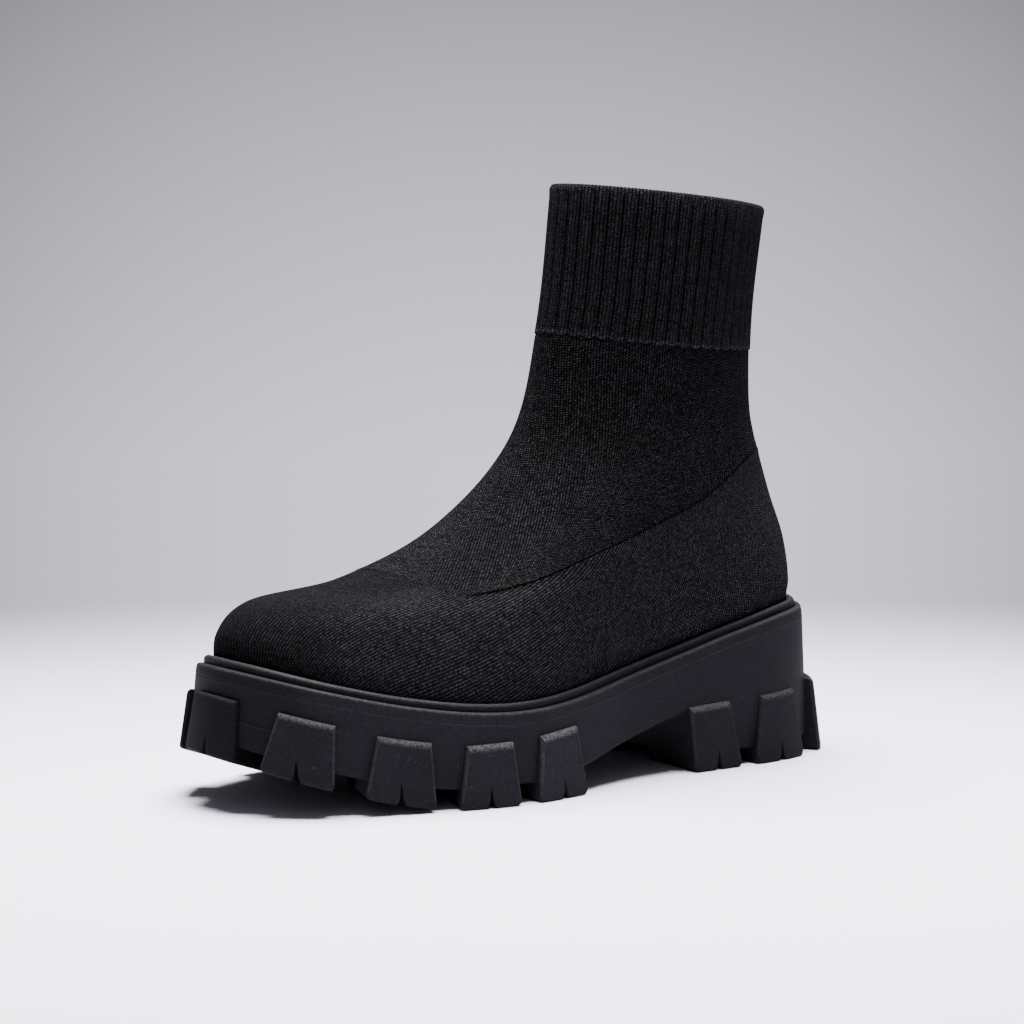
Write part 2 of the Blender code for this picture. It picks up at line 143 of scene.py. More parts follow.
# station: share of the half rim, from heel tip to toe tip; reach: length inwards under the sole
# skew: how far the top lies towards the heel from the foot
# tilt: rise of the top's heel end and fall of its toe end; stand: how much further out the face lies
# sides: where the lug is found (+1 left, -1 right)
Lug = namedtuple("Lug", "name station foot_width top_width height reach skew tilt stand sides")
BOTH = (1, -1)
LUGS = (
    Lug("heel_back", 0.056, 26.0, 19.5, 29.5, 15.0, 0.0, 0.3, 1.8, BOTH),
    Lug("heel_side", 0.173, 28.0, 19.8, 27.5, 22.0, 1.6, 0.5, 0.0, BOTH),
    Lug("heel_front", 0.277, 24.8, 21.0, 26.2, 27.0, -1.9, 0.4, 0.0, BOTH),
    Lug("waist", 0.551, 25.0, 19.2, 25.4, 28.0, 0.8, 0.9, 0.0, BOTH),
    Lug("ball_back", 0.650, 24.4, 18.8, 23.7, 30.0, 1.3, 0.2, 0.0, BOTH),
    Lug("ball_front", 0.757, 27.2, 21.0, 24.6, 30.0, 2.3, 0.0, 0.0, BOTH),
    Lug("toe_side", 0.872, 25.4, 20.5, 24.8, 28.0, 3.4, 0.3, 0.0, (1,)),
    Lug("toe_inner", 0.902, 25.4, 21.5, 24.8, 28.0, 1.0, 0.3, 0.0, (-1,)),
    Lug("toe_tip", 0.986, 29.4, 26.3, 24.2, 26.0, 0.0, 0.0, 0.0, (1,)),
)
# Low bars along the middle of the tread: place along the foot, length, half width
CENTRE_BARS = ((47.0, 28.0, 8.0), (160.0, 18.0, 17.0), (187.0, 18.0, 17.0), (214.0, 16.0, 15.0))
CENTRE_BAR_GAP = 1.5

# Bead in the groove between lip and knit
WELT_RISE = 2.9
WELT_ROUND = 1.75
PIECE_GAP = 0.3

# Upper: a level is a closed loop with its heel end (back), its front end and half widths on the way
UPPER_INSET = 6.4
BEAD_LEVEL = 0.04
FREE_LEVEL = 0.10
DIP_FADE = 0.55
DIP_FADE_POWER = 1.5
ROUND_FADE = 0.60
Level = namedtuple("Level", "v back_x back_z front_x front_z heel waist ball toe")
LEVELS = (
    Level(0.00, 6.4, 57.1, 263.6, 51.6, 43.6, 36.1, 53.1, 53.6),
    Level(0.10, 5.0, 70.5, 263.5, 64.0, 45.5, 39.0, 52.5, 50.5),
    Level(0.22, 7.0, 88.0, 252.0, 75.0, 44.5, 39.5, 48.5, 45.0),
    Level(0.36, 13.5, 107.0, 216.5, 80.0, 41.0, 38.0, 42.0, 38.0),
    Level(0.52, 20.0, 129.5, 173.0, 97.0, 36.5, 36.0, 36.0, 32.5),
    Level(0.68, 24.0, 150.0, 135.0, 132.0, 34.0, 33.5, 32.5, 30.5),
    Level(0.84, 23.0, 183.0, 121.0, 178.5, 32.0, 32.0, 31.0, 30.0),
    Level(1.00, 17.0, 224.0, 114.0, 234.0, 32.0, 32.5, 31.0, 29.5),
)
# Seam between vamp and sock, and foot of the ribbed cuff, as levels along the foot
SEAM_STATIONS = (0.0, 0.15, 0.28, 0.46, 0.61, 0.70, 0.77, 0.87, 1.0)
SEAM_LEVELS = (0.505, 0.486, 0.438, 0.402, 0.360, 0.318, 0.301, 0.348, 0.42)
CUFF_BACK_LEVEL = 0.767
CUFF_FRONT_LEVEL = 0.830

# Wall of the knit, and how far each panel stands off the level surface
KNIT_WALL = 2.0
VAMP_STAND = -0.3
SOCK_STAND = 0.2
CUFF_STAND = 0.7
INSOLE_THICKNESS = 4.0
INSOLE_ROUND = 1.0
INSOLE_SIDE_GAP = 0.5

# Grids: points round each piece
SOLE_SEGMENTS = 720
UPPER_SEGMENTS = 640
RIB_SEGMENTS = 16
INSOLE_SEGMENTS = 180
INSOLE_FIT_SEGMENTS = 72
WALK_SEGMENTS = 1440
SLOPE_STEP = 1e-3
SHARP_ANGLE = np.radians(38.0)

# Camera in the photograph's place: bearing from the toe towards the left, height and distance
CAMERA_BEARING = np.radians(55.95)
CAMERA_ELEVATION = np.radians(5.42)
CAMERA_DISTANCE = 1191.4
CAMERA_FOCAL_PIXELS = 3000.0
CAMERA_ROLL = np.radians(-0.18)
CAMERA_TARGET = (137.5, 0.0, 104.1)


class KnitSettings(bpy.types.PropertyGroup):
    """Sizes and colours of the knit."""

    wale_pitch: FloatProperty(
        name="Wale pitch", description="Distance between two columns of stitches on the vamp",
        default=0.00130, unit="LENGTH")
    rib_wales: IntProperty(
        name="Wales in a rib", description="Columns of stitches in one rib", default=4, min=1, max=8)
    course_pitch: FloatProperty(
        name="Course pitch", description="Height of one row of stitches", default=0.00100, unit="LENGTH")
    rib_count: IntProperty(name="Ribs", description="Ribs round the cuff", default=44, min=8, max=120)
    rib_depth: FloatProperty(
        name="Rib depth", description="Depth of the groove between two ribs", default=0.0009, unit="LENGTH")
    seam_depth: FloatProperty(
        name="Seam depth", description="Depth of the line between vamp and sock",
        default=0.0008, unit="LENGTH")
    stitch_pitch: FloatProperty(
        name="Stitch pitch", description="Distance between two stitches of the seam",
        default=0.0023, unit="LENGTH")
    shadow_colour: FloatVectorProperty(
        name="Yarn shadow", description="Colour between the stitches", default=(0.0003, 0.0003, 0.0004),
        subtype="COLOR", min=0.0, max=1.0)
    yarn_colour: FloatVectorProperty(
        name="Yarn", description="Colour of a stitch's crown", default=(0.0400, 0.0400, 0.0436),
        subtype="COLOR", min=0.0, max=1.0)
    lining_colour: FloatVectorProperty(
        name="Lining", description="Colour of the inside", default=(0.0040, 0.0040, 0.0044),
        subtype="COLOR", min=0.0, max=1.0)


class SoleSettings(bpy.types.PropertyGroup):
    """Sizes and colours of the moulded sole, its bead and the footbed."""

    bar_round: FloatProperty(
        name="Bar rounding", description="Rounding of the tread bars' edges", default=0.0010, unit="LENGTH")
    rubber_colour: FloatVectorProperty(
        name="Rubber", description="Colour of the sole", default=(0.0085, 0.0077, 0.0098),
        subtype="COLOR", min=0.0, max=1.0)
    lug_colour: FloatVectorProperty(
        name="Lugs", description="Colour of the lugs", default=(0.0082, 0.0076, 0.0095),
        subtype="COLOR", min=0.0, max=1.0)
    # Colour of lighter scuffs and of painted highlights on lit edges
    scuff_and_highlight_colour: FloatVectorProperty(
        name="Scuffs_and_highlights", description="Colour of worn edges", default=(0.0300, 0.0296, 0.0325),
        subtype="COLOR", min=0.0, max=1.0)
    bead_colour: FloatVectorProperty(
        name="Bead", description="Colour of the bead", default=(0.0046, 0.0044, 0.0054),
        subtype="COLOR", min=0.0, max=1.0)
    footbed_colour: FloatVectorProperty(
        name="Footbed", description="Colour of the footbed's cloth", default=(0.0070, 0.0070, 0.0076),
        subtype="COLOR", min=0.0, max=1.0)


class StageSettings(bpy.types.PropertyGroup):
    """Floor, background and lights."""

    floor_radius: FloatProperty(
        name="Floor radius", description="Where the floor has faded into the background", default=0.85,
        unit="LENGTH")
    # Colour at the middle of the floor's painted pool of light
    floor_colour: FloatVectorProperty(
        name="Floor", description="Colour of the floor near the boot", default=(0.665, 0.660, 0.740),
        subtype="COLOR", min=0.0, max=1.0)
    background_colour: FloatVectorProperty(
        name="Background", description="Colour of the background", default=(0.800, 0.797, 0.890),
        subtype="COLOR", min=0.0, max=1.0)
    key_power: FloatProperty(
        name="Key power", description="Power of the soft box overhead", default=162.0, unit="POWER")
    key_size: FloatProperty(
        name="Key size", description="Side of the soft box overhead", default=0.90, unit="LENGTH")


def smooth_curve(knots, values, at):
    """Curve through a table: cubic pieces whose slopes are the central differences of the table."""
    knots = np.asarray(knots, float)
    values = np.asarray(values, float)
    slopes = np.gradient(values, knots)
    i = np.clip(np.searchsorted(knots, at) - 1, 0, len(knots) - 2)
    width = knots[i + 1] - knots[i]
    t = np.clip((at - knots[i]) / width, 0.0, 1.0)
    start = values[i] * (1 + 2 * t) + slopes[i] * width * t
    end = values[i + 1] * (3 - 2 * t) + slopes[i + 1] * width * (t - 1)
    return start * (1 - t) ** 2 + end * t ** 2


def smooth_step(low, high, at):
    """0 below low and 1 above high, with three squares less two cubes of the share between."""
    t = np.clip((at - low) / (high - low), 0.0, 1.0)
    return t * t * (3 - 2 * t)


def bell(at, middle, width):
    """Bell of height 1 at the middle: e to the minus square of the distance in widths."""
    return np.exp(-((at - middle) / width) ** 2)


def even_angles(count):
    """Angles of a whole turn in even steps, from the heel tip."""
    return np.arange(count) * 2 * np.pi / count


def foot_station(angle):
    """Share of a loop's length at an angle: 0 at the heel tip, 1 at the toe tip."""
    return (1 - np.cos(angle)) / 2


def plan_loop(angle, back, front, half_widths, roundness):
    """Plan of a foot loop: half width times the sine of the angle, sheared and swung for the left foot.

    Near heel and toe the half width grows by up to HEEL_ROUND and TOE_ROUND times the roundness.
    """
    station = foot_station(angle)
    heel, waist, ball, toe = half_widths
    sheared = np.clip(station + np.sign(np.sin(angle)) * SIDE_SHEAR * np.sin(angle) ** 2, 0.0, 1.0)
    half = 0.0
    for width, unit in zip((heel, heel, waist, ball, toe, toe), np.eye(len(WIDTH_STATIONS))):
        half = half + width * smooth_curve(WIDTH_STATIONS, unit, sheared)
    heel_end = np.clip(1 - station / ROUND_SPAN, 0.0, 1.0) ** 2
    toe_end = np.clip(1 - (1 - station) / ROUND_SPAN, 0.0, 1.0) ** 2
    half = half * (1 + roundness * (HEEL_ROUND * heel_end + TOE_ROUND * toe_end))
    x = back + (front - back) * station
    y = half * np.sin(angle) - SWING * np.clip((x - SWING_START) / SWING_SPAN, 0.0, None) ** 2
    return x, y


def rim_frame(angle):
    """Plan point of the rim and its outward unit normal, from the slope along the angle."""
    x, y = plan_loop(angle, 0.0, RIM_LENGTH, RIM_HALF_WIDTHS, 1.0)
    x_on, y_on = plan_loop(angle + SLOPE_STEP, 0.0, RIM_LENGTH, RIM_HALF_WIDTHS, 1.0)
    x_off, y_off = plan_loop(angle - SLOPE_STEP, 0.0, RIM_LENGTH, RIM_HALF_WIDTHS, 1.0)
    length = np.hypot(x_on - x_off, y_on - y_off)
    return x, y, -(y_on - y_off) / length, (x_on - x_off) / length


def rim_loop(angle, grow):
    """Plan of the rim, moved outwards along its normal by a distance (inwards where it is negative)."""
    x, y, normal_x, normal_y = rim_frame(angle)
    return x + grow * normal_x, y + grow * normal_y


def rim_height(station):
    """Height of the rim over the floor at a station of the foot."""
    return smooth_curve(RIM_STATIONS, RIM_HEIGHTS, station)


def rim_dip(station):
    """How far the rim lies under the straight line from its heel to its toe."""
    return rim_height(station) - (RIM_HEIGHTS[0] + (RIM_HEIGHTS[-1] - RIM_HEIGHTS[0]) * station)


def tread_height(x):
    """Height of the tread over the floor: nothing up to the tread break, then the toe spring's curve."""
    past = np.clip((x - TREAD_BREAK) / (TOE_SPRING_END - TREAD_BREAK), 0.0, None)
    return TOE_SPRING * past ** TOE_SPRING_POWER


def underside_height(station):
    """Underside between the lugs: heel recess, step of the heel breast, sloping arch, forefoot recess."""
    arch_run = (station - BREAST_STATION) / (ARCH_END_STATION - BREAST_STATION)
    arch = ARCH_TOP + (FORE_RECESS - ARCH_TOP) * np.clip(arch_run, 0.0, 1.0)
    fore = arch + tread_height(station * RIM_LENGTH)
    return np.where(station < BREAST_STATION, HEEL_RECESS, fore)


def level_surface(angle, level):
    """Point of the upper at an angle and a level, both arrays of one shape.

    The level's loop runs from its back end to its front end on a slope, dips with the rim where it
    is low, and has the plan of a foot loop with the level's own half widths.  Behind the bead the
    plan is the rim's own, inset.
    """
    knots = [row.v for row in LEVELS]
    columns = list(zip(*LEVELS))[1:]
    back_x, back_z, front_x, front_z, *half_widths = [smooth_curve(knots, c, level) for c in columns]
    station = foot_station(angle)
    roundness = np.clip(1 - level / ROUND_FADE, 0.0, 1.0)
    x, y = plan_loop(angle, back_x, front_x, half_widths, roundness)
    feather_x, feather_y = rim_loop(angle, -UPPER_INSET)
    free = smooth_step(BEAD_LEVEL, FREE_LEVEL, level)
    x = feather_x + free * (x - feather_x)
    y = feather_y + free * (y - feather_y)
    fade = np.clip(1 - level / DIP_FADE, 0.0, 1.0) ** DIP_FADE_POWER
    z = back_z + (front_z - back_z) * station + fade * rim_dip(station)
    return np.stack([x, y, z], axis=-1)


def level_slopes(angle, level):
    """Outward unit normals of the level surface, and its length in millimetres for one whole level."""
    along = level_surface(angle + SLOPE_STEP, level) - level_surface(angle - SLOPE_STEP, level)
    low = np.clip(level - SLOPE_STEP, 0.0, 1.0)
    high = np.clip(level + SLOPE_STEP, 0.0, 1.0)
    rising = level_surface(angle, high) - level_surface(angle, low)
    normal = np.cross(rising, along)
    normal /= np.linalg.norm(normal, axis=-1)[..., None]
    return normal, np.linalg.norm(rising, axis=-1) / (high - low)


def seam_level(angle):
    """Level of the seam between vamp and sock."""
    return smooth_curve(SEAM_STATIONS, SEAM_LEVELS, foot_station(angle))


def cuff_level(angle):
    """Level of the cuff's foot, which rises evenly from the back to the front."""
    return CUFF_BACK_LEVEL + (CUFF_FRONT_LEVEL - CUFF_BACK_LEVEL) * foot_station(angle)


def frame_shift():
    """Where the tables' origin lies in the frame: the footbed's box less the footbed's own loop."""
    low, high = (np.array(corner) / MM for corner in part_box("insole"))
    x, y = rim_loop(even_angles(INSOLE_FIT_SEGMENTS), -(UPPER_INSET + KNIT_WALL + INSOLE_SIDE_GAP))
    middle = (x.min() + x.max()) / 2, (y.min() + y.max()) / 2
    return np.array(((low[0] + high[0]) / 2 - middle[0], (low[1] + high[1]) / 2 - middle[1], 0.0))


SHIFT = frame_shift()


def grid_quads(rows, columns, closed_rows=False):
    """Quads of stacked closed loops that run clockwise seen from above and rise outside, facing out."""
    row = np.arange(rows if closed_rows else rows - 1)[:, None]
    column = np.arange(columns)[None, :]
    low = row * columns
    high = (row + 1) % rows * columns
    on = (column + 1) % columns
    corners = np.broadcast_arrays(low + column, high + column, high + on, low + on)
    return np.stack(corners, axis=-1).reshape(-1, 4)


def cap_polygons(first, count, facing_up):
    """Strips across a loop from left to right, between points that share a station."""
    half = count // 2
    i = np.arange(1, half - 1)
    strips = np.stack([first + i, first + i + 1, first + count - i - 1, first + count - i], axis=-1)
    heel_end = (first, first + 1, first + count - 1)
    toe_end = (first + half - 1, first + half, first + half + 1)
    polygons = [*strips, np.array(heel_end), np.array(toe_end)]
    return polygons if facing_up else [row[::-1] for row in polygons]


def add_piece(name, points, polygons, looks, slot, node, look_of_polygon=None):
    """Mesh object from points in millimetres, riding on the boot and standing for a node of the frame."""
    mesh = bpy.data.meshes.new(name)
    placed = (np.asarray(points).reshape(-1, 3) + SHIFT) * MM
    counts = np.array([len(row) for row in polygons])
    starts = np.cumsum(counts) - counts
    corners = np.concatenate([np.asarray(row) for row in polygons])
    mesh.vertices.add(len(placed))
    mesh.vertices.foreach_set("co", placed.ravel())
    mesh.loops.add(len(corners))
    mesh.loops.foreach_set("vertex_index", corners.astype(np.int32))
    mesh.polygons.add(len(counts))
    mesh.polygons.foreach_set("loop_start", starts.astype(np.int32))
    for look in looks:
        mesh.materials.append(look)
    if look_of_polygon is not None:
        mesh.polygons.foreach_set("material_index", np.asarray(look_of_polygon, np.int32))
    mesh.update(calc_edges=True)
    if mesh.validate():
        raise RuntimeError(f"{name}: its faces don't fit together")
    mesh.shade_smooth()
    mesh.set_sharp_from_angle(angle=SHARP_ANGLE)
    piece = bpy.data.objects.new(name, mesh)
    bpy.context.scene.collection.objects.link(piece)
    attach(piece, "root")
    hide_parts(node)
    return piece


def add_corner_map(piece, name, u, v):
    """Map of two numbers for each corner of each face, so that a pattern can close round the boot."""
    layer = piece.data.uv_layers.new(name=name)
    layer.data.foreach_set("uv", np.stack([u, v], axis=-1).astype(np.float32).ravel())


def add_value(piece, name, values, domain="POINT"):
    """One number for each point or face, for the piece's material."""
    layer = piece.data.attributes.new(name, "FLOAT", domain)
    layer.data.foreach_set("value", np.asarray(values, np.float32).ravel())


class Wire:
    """A shader socket: arithmetic on it adds Math nodes, and node() adds a node of any other type."""

    def __init__(self, tree, socket=None):
        self.tree = tree
        self.socket = socket

    def node(self, kind, settings=None, inputs=None, output=0):
        """Adds a node: its settings first, then the values or links of its inputs."""
        made = self.tree.nodes.new(kind)
        for name, value in (settings or {}).items():
            setattr(made, name, value)
        for key, value in (inputs or {}).items():
            if isinstance(value, Wire):
                self.tree.links.new(value.socket, made.inputs[key])
            else:
                made.inputs[key].default_value = value
        return Wire(self.tree, made.outputs[output])

    def math(self, operation, *others):
        """Math node whose first value is this wire."""
        return self.node("ShaderNodeMath", {"operation": operation}, dict(enumerate((self, *others))))

    def mix(self, share, low, high):
        """Colour between two colours."""
        return self.node("ShaderNodeMix", {"data_type": "RGBA"}, {0: share, 6: low, 7: high}, output=2)

    def clamp(self):
        """This value kept between 0 and 1."""
        return self.node("ShaderNodeClamp", None, {0: self})

    def noise(self, scale, detail, output=0):
        """Noise at this place: a value, or a colour from output 1."""
        inputs = {"Vector": self, "Scale": scale, "Detail": detail}
        return self.node("ShaderNodeTexNoise", None, inputs, output)

    def axis(self, which):
        """One of this vector's three numbers."""
        return self.node("ShaderNodeSeparateXYZ", None, {0: self}, which)

    def attribute(self, name):
        """The piece's own number of that name."""
        return self.node("ShaderNodeAttribute", {"attribute_name": name}, output=2)

    def object_place(self):
        """Object coordinates."""
        return self.node("ShaderNodeTexCoord", output=3)

    def feed(self, shader, key):
        """Links this socket to an input of a shader."""
        self.tree.links.new(self.socket, shader.inputs[key])

    def __add__(self, other):
        return self.math("ADD", other)

    def __radd__(self, other):
        return self.math("ADD", other)

    def __sub__(self, other):
        return self.math("SUBTRACT", other)

    def __rsub__(self, other):
        return self.node("ShaderNodeMath", {"operation": "SUBTRACT"}, {0: other, 1: self})

    def __mul__(self, other):
        return self.math("MULTIPLY", other)

    def __rmul__(self, other):
        return self.math("MULTIPLY", other)

    def __pow__(self, other):
        return self.math("POWER", other)


def start_material(name, constants):
    """Material with a Principled shader and its unchanging inputs; returns it, a wire and the shader."""
    made = bpy.data.materials.new(name)
    made.use_nodes = True
    shader = made.node_tree.nodes["Principled BSDF"]
    for key, value in constants.items():
        shader.inputs[key].default_value = value
    return made, Wire(made.node_tree), shader


def opaque(colour):
    """Colour with its alpha at 1."""
    return (*colour, 1.0)


# Knit: fall of a stitch across its wale, how far its swell along the wale parts the stitches, lean of
# its legs, shift of every other wale, wobble of the lattice, and spread, power and scale of its lightness
Knit = namedtuple("Knit", "wale_power course_share lean brick wobble spread sharp tone")
VAMP_KNIT = Knit(2.4, 0.42, -0.40, 0.0, 0.30, 0.45, 1.8, 0.49)
SOCK_KNIT = Knit(2.4, 0.90, -0.25, 0.5, 0.50, 0.65, 1.9, 0.59)
CUFF_KNIT = Knit(2.2, 0.66, -0.25, 0.5, 0.65, 0.34, 1.1, 0.34)
KNIT_GLOSS = {"Roughness": 0.95, "Specular IOR Level": 0.01, "Sheen Weight": 0.002, "Sheen Roughness": 0.45,
              "Sheen Tint": (0.75, 0.75, 0.80, 1.0)}
WOBBLE_SCALE = 420.0
DOTTED_SHARE = 0.9
PATCH_SCALE = 55.0
PATCH_RANGE = (0.80, 0.40)
# How much the piece's shift of tone, which carries painted shade, changes the stitches' lightness
SHIFT_GAIN = 0.85
# Fibres in the yarn: scale of their noise, gain and cut of its light, and the finer fuzz of their relief
FIBRE_SCALE = 1700.0
FIBRE_GAIN = 4.2
FIBRE_CUT = 1.1
FUZZ_SCALE = 2600.0
FUZZ_SHARE = 0.25
KNIT_BUMP = 0.0006
KNIT_BUMP_STRENGTH = 0.7


def stitch_coordinates(wire, wobble):
    """Wale and course counts from the piece's own map, shifted a little by noise as hand-fed yarn is."""
    stitches = wire.node("ShaderNodeUVMap", {"uv_map": "stitches"})
    place = wire.object_place()
    noise = place.noise(WOBBLE_SCALE, 2.0, output=1)
    red = wire.node("ShaderNodeSeparateColor", None, {0: noise}, output=0)
    green = wire.node("ShaderNodeSeparateColor", None, {0: noise}, output=1)
    wale = stitches.axis(0) + (red - 0.5) * wobble
    course = stitches.axis(1) + (green - 0.5) * (2.0 * wobble)
    return wale, course, place


def knit_material(name, settings, knit):
    """Knit: loops in a lattice of wales and courses.

    Across a wale a stitch falls off as 1 less a power of the distance from its middle; along the wale it
    swells as a cosine whose phase leans back towards the edges, which draws the two legs of a loop.  Its
    lightness is the power sharp of that form.  Where the piece says it is dotted, stitches part more.
    A brick share shifts every other wale by part of a course.  Each stitch has its own lightness, and
    the piece's own shift of tone darkens it with painted shade in the seam and the rib grooves, on the
    shaft, under the front of the seam and at the toe's foot, and lightens the ends of loops.
    """
    made, wire, shader = start_material(name, KNIT_GLOSS)
    wale, course, place = stitch_coordinates(wire, knit.wobble)
    column = wale.math("FLOOR")
    across = (wale - column - 0.5).math("ABSOLUTE") * 2.0
    odd = column.math("MODULO", 2.0)
    along = course + across * knit.lean + odd * knit.brick
    row = along.math("FLOOR")
    swell = 0.5 - ((along - row) * (2 * np.pi)).math("COSINE") * 0.5
    waist = wire.attribute("dotted") * (DOTTED_SHARE - knit.course_share) + knit.course_share
    crown = (1.0 - across ** knit.wale_power) * ((1.0 - waist) + swell * waist)
    cell = wire.node("ShaderNodeCombineXYZ", None, {0: column, 1: row})
    fleck = wire.node("ShaderNodeTexWhiteNoise", {"noise_dimensions": "2D"}, {"Vector": cell})
    patch_low, patch_span = PATCH_RANGE
    patch = patch_low + place.noise(PATCH_SCALE, 3.0) * patch_span
    # Painted shade and lighter loop ends from the piece's shift of tone
    shift = 1.0 + wire.attribute("painted_shade_and_tone") * SHIFT_GAIN
    varied = ((1.0 - knit.spread) + fleck * (2.0 * knit.spread)) * patch * shift
    fibre = (place.noise(FIBRE_SCALE, 2.0) * FIBRE_GAIN - FIBRE_CUT).math("MAXIMUM", 0.0)
    light = crown ** knit.sharp * varied * fibre * knit.tone
    colour = wire.mix(light.clamp(), opaque(settings.shadow_colour), opaque(settings.yarn_colour))
    fuzz = place.noise(FUZZ_SCALE, 2.0)
    height = crown * ((1 - FUZZ_SHARE) + fleck * FUZZ_SHARE) + fuzz * FUZZ_SHARE
    normal = wire.node("ShaderNodeBump", None, {
        "Strength": KNIT_BUMP_STRENGTH, "Distance": KNIT_BUMP, "Height": height})
    colour.feed(shader, "Base Color")
    normal.feed(shader, "Normal")
    return made


# Rubber: roughness, level of its gloss, and strength of its pebble grain
Rubber = namedtuple("Rubber", "roughness gloss grain")
SOLE_RUBBER = Rubber(0.62, 0.035, 0.45)
LUG_RUBBER = Rubber(0.64, 0.03, 0.6)
BEAD_RUBBER = Rubber(0.55, 0.07, 0.6)
# Scales of its noises, and how much cloud, specks and pebbles each vary the tone
CLOUD_SCALE = 38.0
PEBBLE_SCALE = 1500.0
SPECK_SCALE = 850.0
DOT_SCALE = 880.0
RAGGED_SCALE = 1300.0
MOTTLE_SHARES = (1.0, 1.2, 2.4)
MOTTLE_RANGE = (0.72, 1.32)
# Where the noise is cut, and the gain over the cut: ragged scuffs and painted highlights on lit edges,
# and stray pale dots
RAGGED_CUT = 0.34
RAGGED_GAIN = 4.5
DOT_CUT = 0.68
DOT_GAIN = 7.0
DOT_SHARE = 0.55
# How cloud, pebbles, and scuffs with painted highlights vary the roughness, and the specks' share of
# the relief
GLOSS_SHARES = (0.16, 0.20, 0.12)
SPECK_RELIEF = 0.6
RUBBER_BUMP = 0.00030


def rubber_material(name, colour, scuff_and_highlight, rubber):
    """Moulded rubber: fine pebble grain, cloudy tone, and lighter scuffs and painted highlights on the
    edges that the piece marks.

    The piece's own shade darkens it with painted shade, or lightens it with painted light where
    the shade is negative.
    """
    made, wire, shader = start_material(name, {"Specular IOR Level": rubber.gloss})
    place = wire.object_place()
    cloud = place.noise(CLOUD_SCALE, 4.0)
    pebble = place.noise(PEBBLE_SCALE, 3.0)
    speck = place.noise(SPECK_SCALE, 2.0)
    dots = ((place.noise(DOT_SCALE, 1.0) - DOT_CUT) * DOT_GAIN).clamp()
    ragged = (place.noise(RAGGED_SCALE, 2.0) - RAGGED_CUT) * RAGGED_GAIN
    # Lighter scuffs and painted highlights where the piece marks its edges, and stray pale dots
    scuffed_and_lit = (wire.attribute("worn_and_lit") * ragged).clamp() + dots * DOT_SHARE
    of_cloud, of_speck, of_pebble = MOTTLE_SHARES
    mottle = (cloud - 0.5) * of_cloud + (speck - 0.5) * of_speck + (pebble - 0.5) * of_pebble + 0.5
    dark, light = (opaque([c * share for c in colour]) for share in MOTTLE_RANGE)
    base = wire.mix(mottle.clamp(), dark, light)
    base = wire.mix(scuffed_and_lit.clamp(), base, opaque(scuff_and_highlight))
    # Painted shade darkens the colour, and a negative shade is painted light
    shown = 1.0 - wire.attribute("shade")
    base = wire.node("ShaderNodeVectorMath", {"operation": "SCALE"}, {0: base, "Scale": shown})
    by_cloud, by_pebble, by_worn_and_lit = GLOSS_SHARES
    gloss = rubber.roughness + (cloud - 0.5) * by_cloud + (pebble - 0.5) * by_pebble + scuffed_and_lit * by_worn_and_lit
    normal = wire.node("ShaderNodeBump", None, {
        "Strength": rubber.grain, "Distance": RUBBER_BUMP, "Height": pebble + speck * SPECK_RELIEF})
    base.feed(shader, "Base Color")
    gloss.clamp().feed(shader, "Roughness")
    normal.feed(shader, "Normal")
    return made


# Cloth: scale of its threads in turns of the sine to a metre, and range of its tone
LINING_WEAVE = 5200.0
FOOTBED_WEAVE = 4200.0
CLOTH_CLOUD_SCALE = 120.0
CLOTH_RANGE = (0.4, 1.4)
CLOTH_BUMP = 0.0003
CLOTH_BUMP_STRENGTH = 0.6
CLOTH_GLOSS = {"Roughness": 0.95, "Specular IOR Level": 0.04, "Sheen Weight": 0.01, "Sheen Roughness": 0.5}


def cloth_material(name, colour, weave_scale):
    """Fine woven cloth: two crossed sine waves make the threads, and noise varies their tone."""
    made, wire, shader = start_material(name, CLOTH_GLOSS)
    place = wire.object_place()
    warp, weft = ((place.axis(i) * weave_scale).math("SINE") * 0.5 + 0.5 for i in (0, 1))
    thread = warp.math("MAXIMUM", weft)
    light = (thread * (0.5 + place.noise(CLOTH_CLOUD_SCALE, 4.0))).clamp()
    base = wire.mix(light, *(opaque([c * share for c in colour]) for share in CLOTH_RANGE))
    normal = wire.node("ShaderNodeBump", None, {
        "Strength": CLOTH_BUMP_STRENGTH, "Distance": CLOTH_BUMP, "Height": thread})
    base.feed(shader, "Base Color")
    normal.feed(shader, "Normal")
    return made


# Turn of the vamp's wales, in wales: along the forefoot they run back along the foot, elsewhere they rise.
# Windows are shares of the half turn from heel tip to toe tip, and fades are levels
WALE_TURN = 115.0
WALE_TURN_DENSITY = 38.0
WALE_TURN_FADE = (0.12, 0.38)
WALE_TURN_WINDOW = (0.18, 0.55, 0.70, 0.98)
WALE_TOE_SHARE = 0.18
WALE_LEVEL = 0.12
COURSE_DRAG = 110.0
COURSE_FADE = 0.75
COURSE_TURN_SHARE = 0.65
COURSE_FRONT = (0.55, 1.0)
# Stitches are wider over the toe and closer round the heel
TOE_OPEN = 0.25
TOE_OPEN_TURN = (0.78, 0.96)
HEEL_CLOSE = 0.12
HEEL_CLOSE_TURN = (0.15, 0.45)
# Sock: distance of its wales in millimetres, the level where it is measured, and height of its courses
SOCK_PITCH = 1.18
SOCK_LEVEL = 0.62
SOCK_COURSE = 1.05


def half_turn(angle):
    """Angle from the heel tip to the toe tip, the same on both sides."""
    return np.minimum(angle, 2 * np.pi - angle)


def wale_window(angle):
    """1 along the sides of the forefoot and waist, 0 at heel and toe, the same on both sides."""
    rise_from, rise_to, fall_from, fall_to = (share * np.pi for share in WALE_TURN_WINDOW)
    turn = half_turn(angle)
    return smooth_step(rise_from, rise_to, turn) * (1 - smooth_step(fall_from, fall_to, turn))


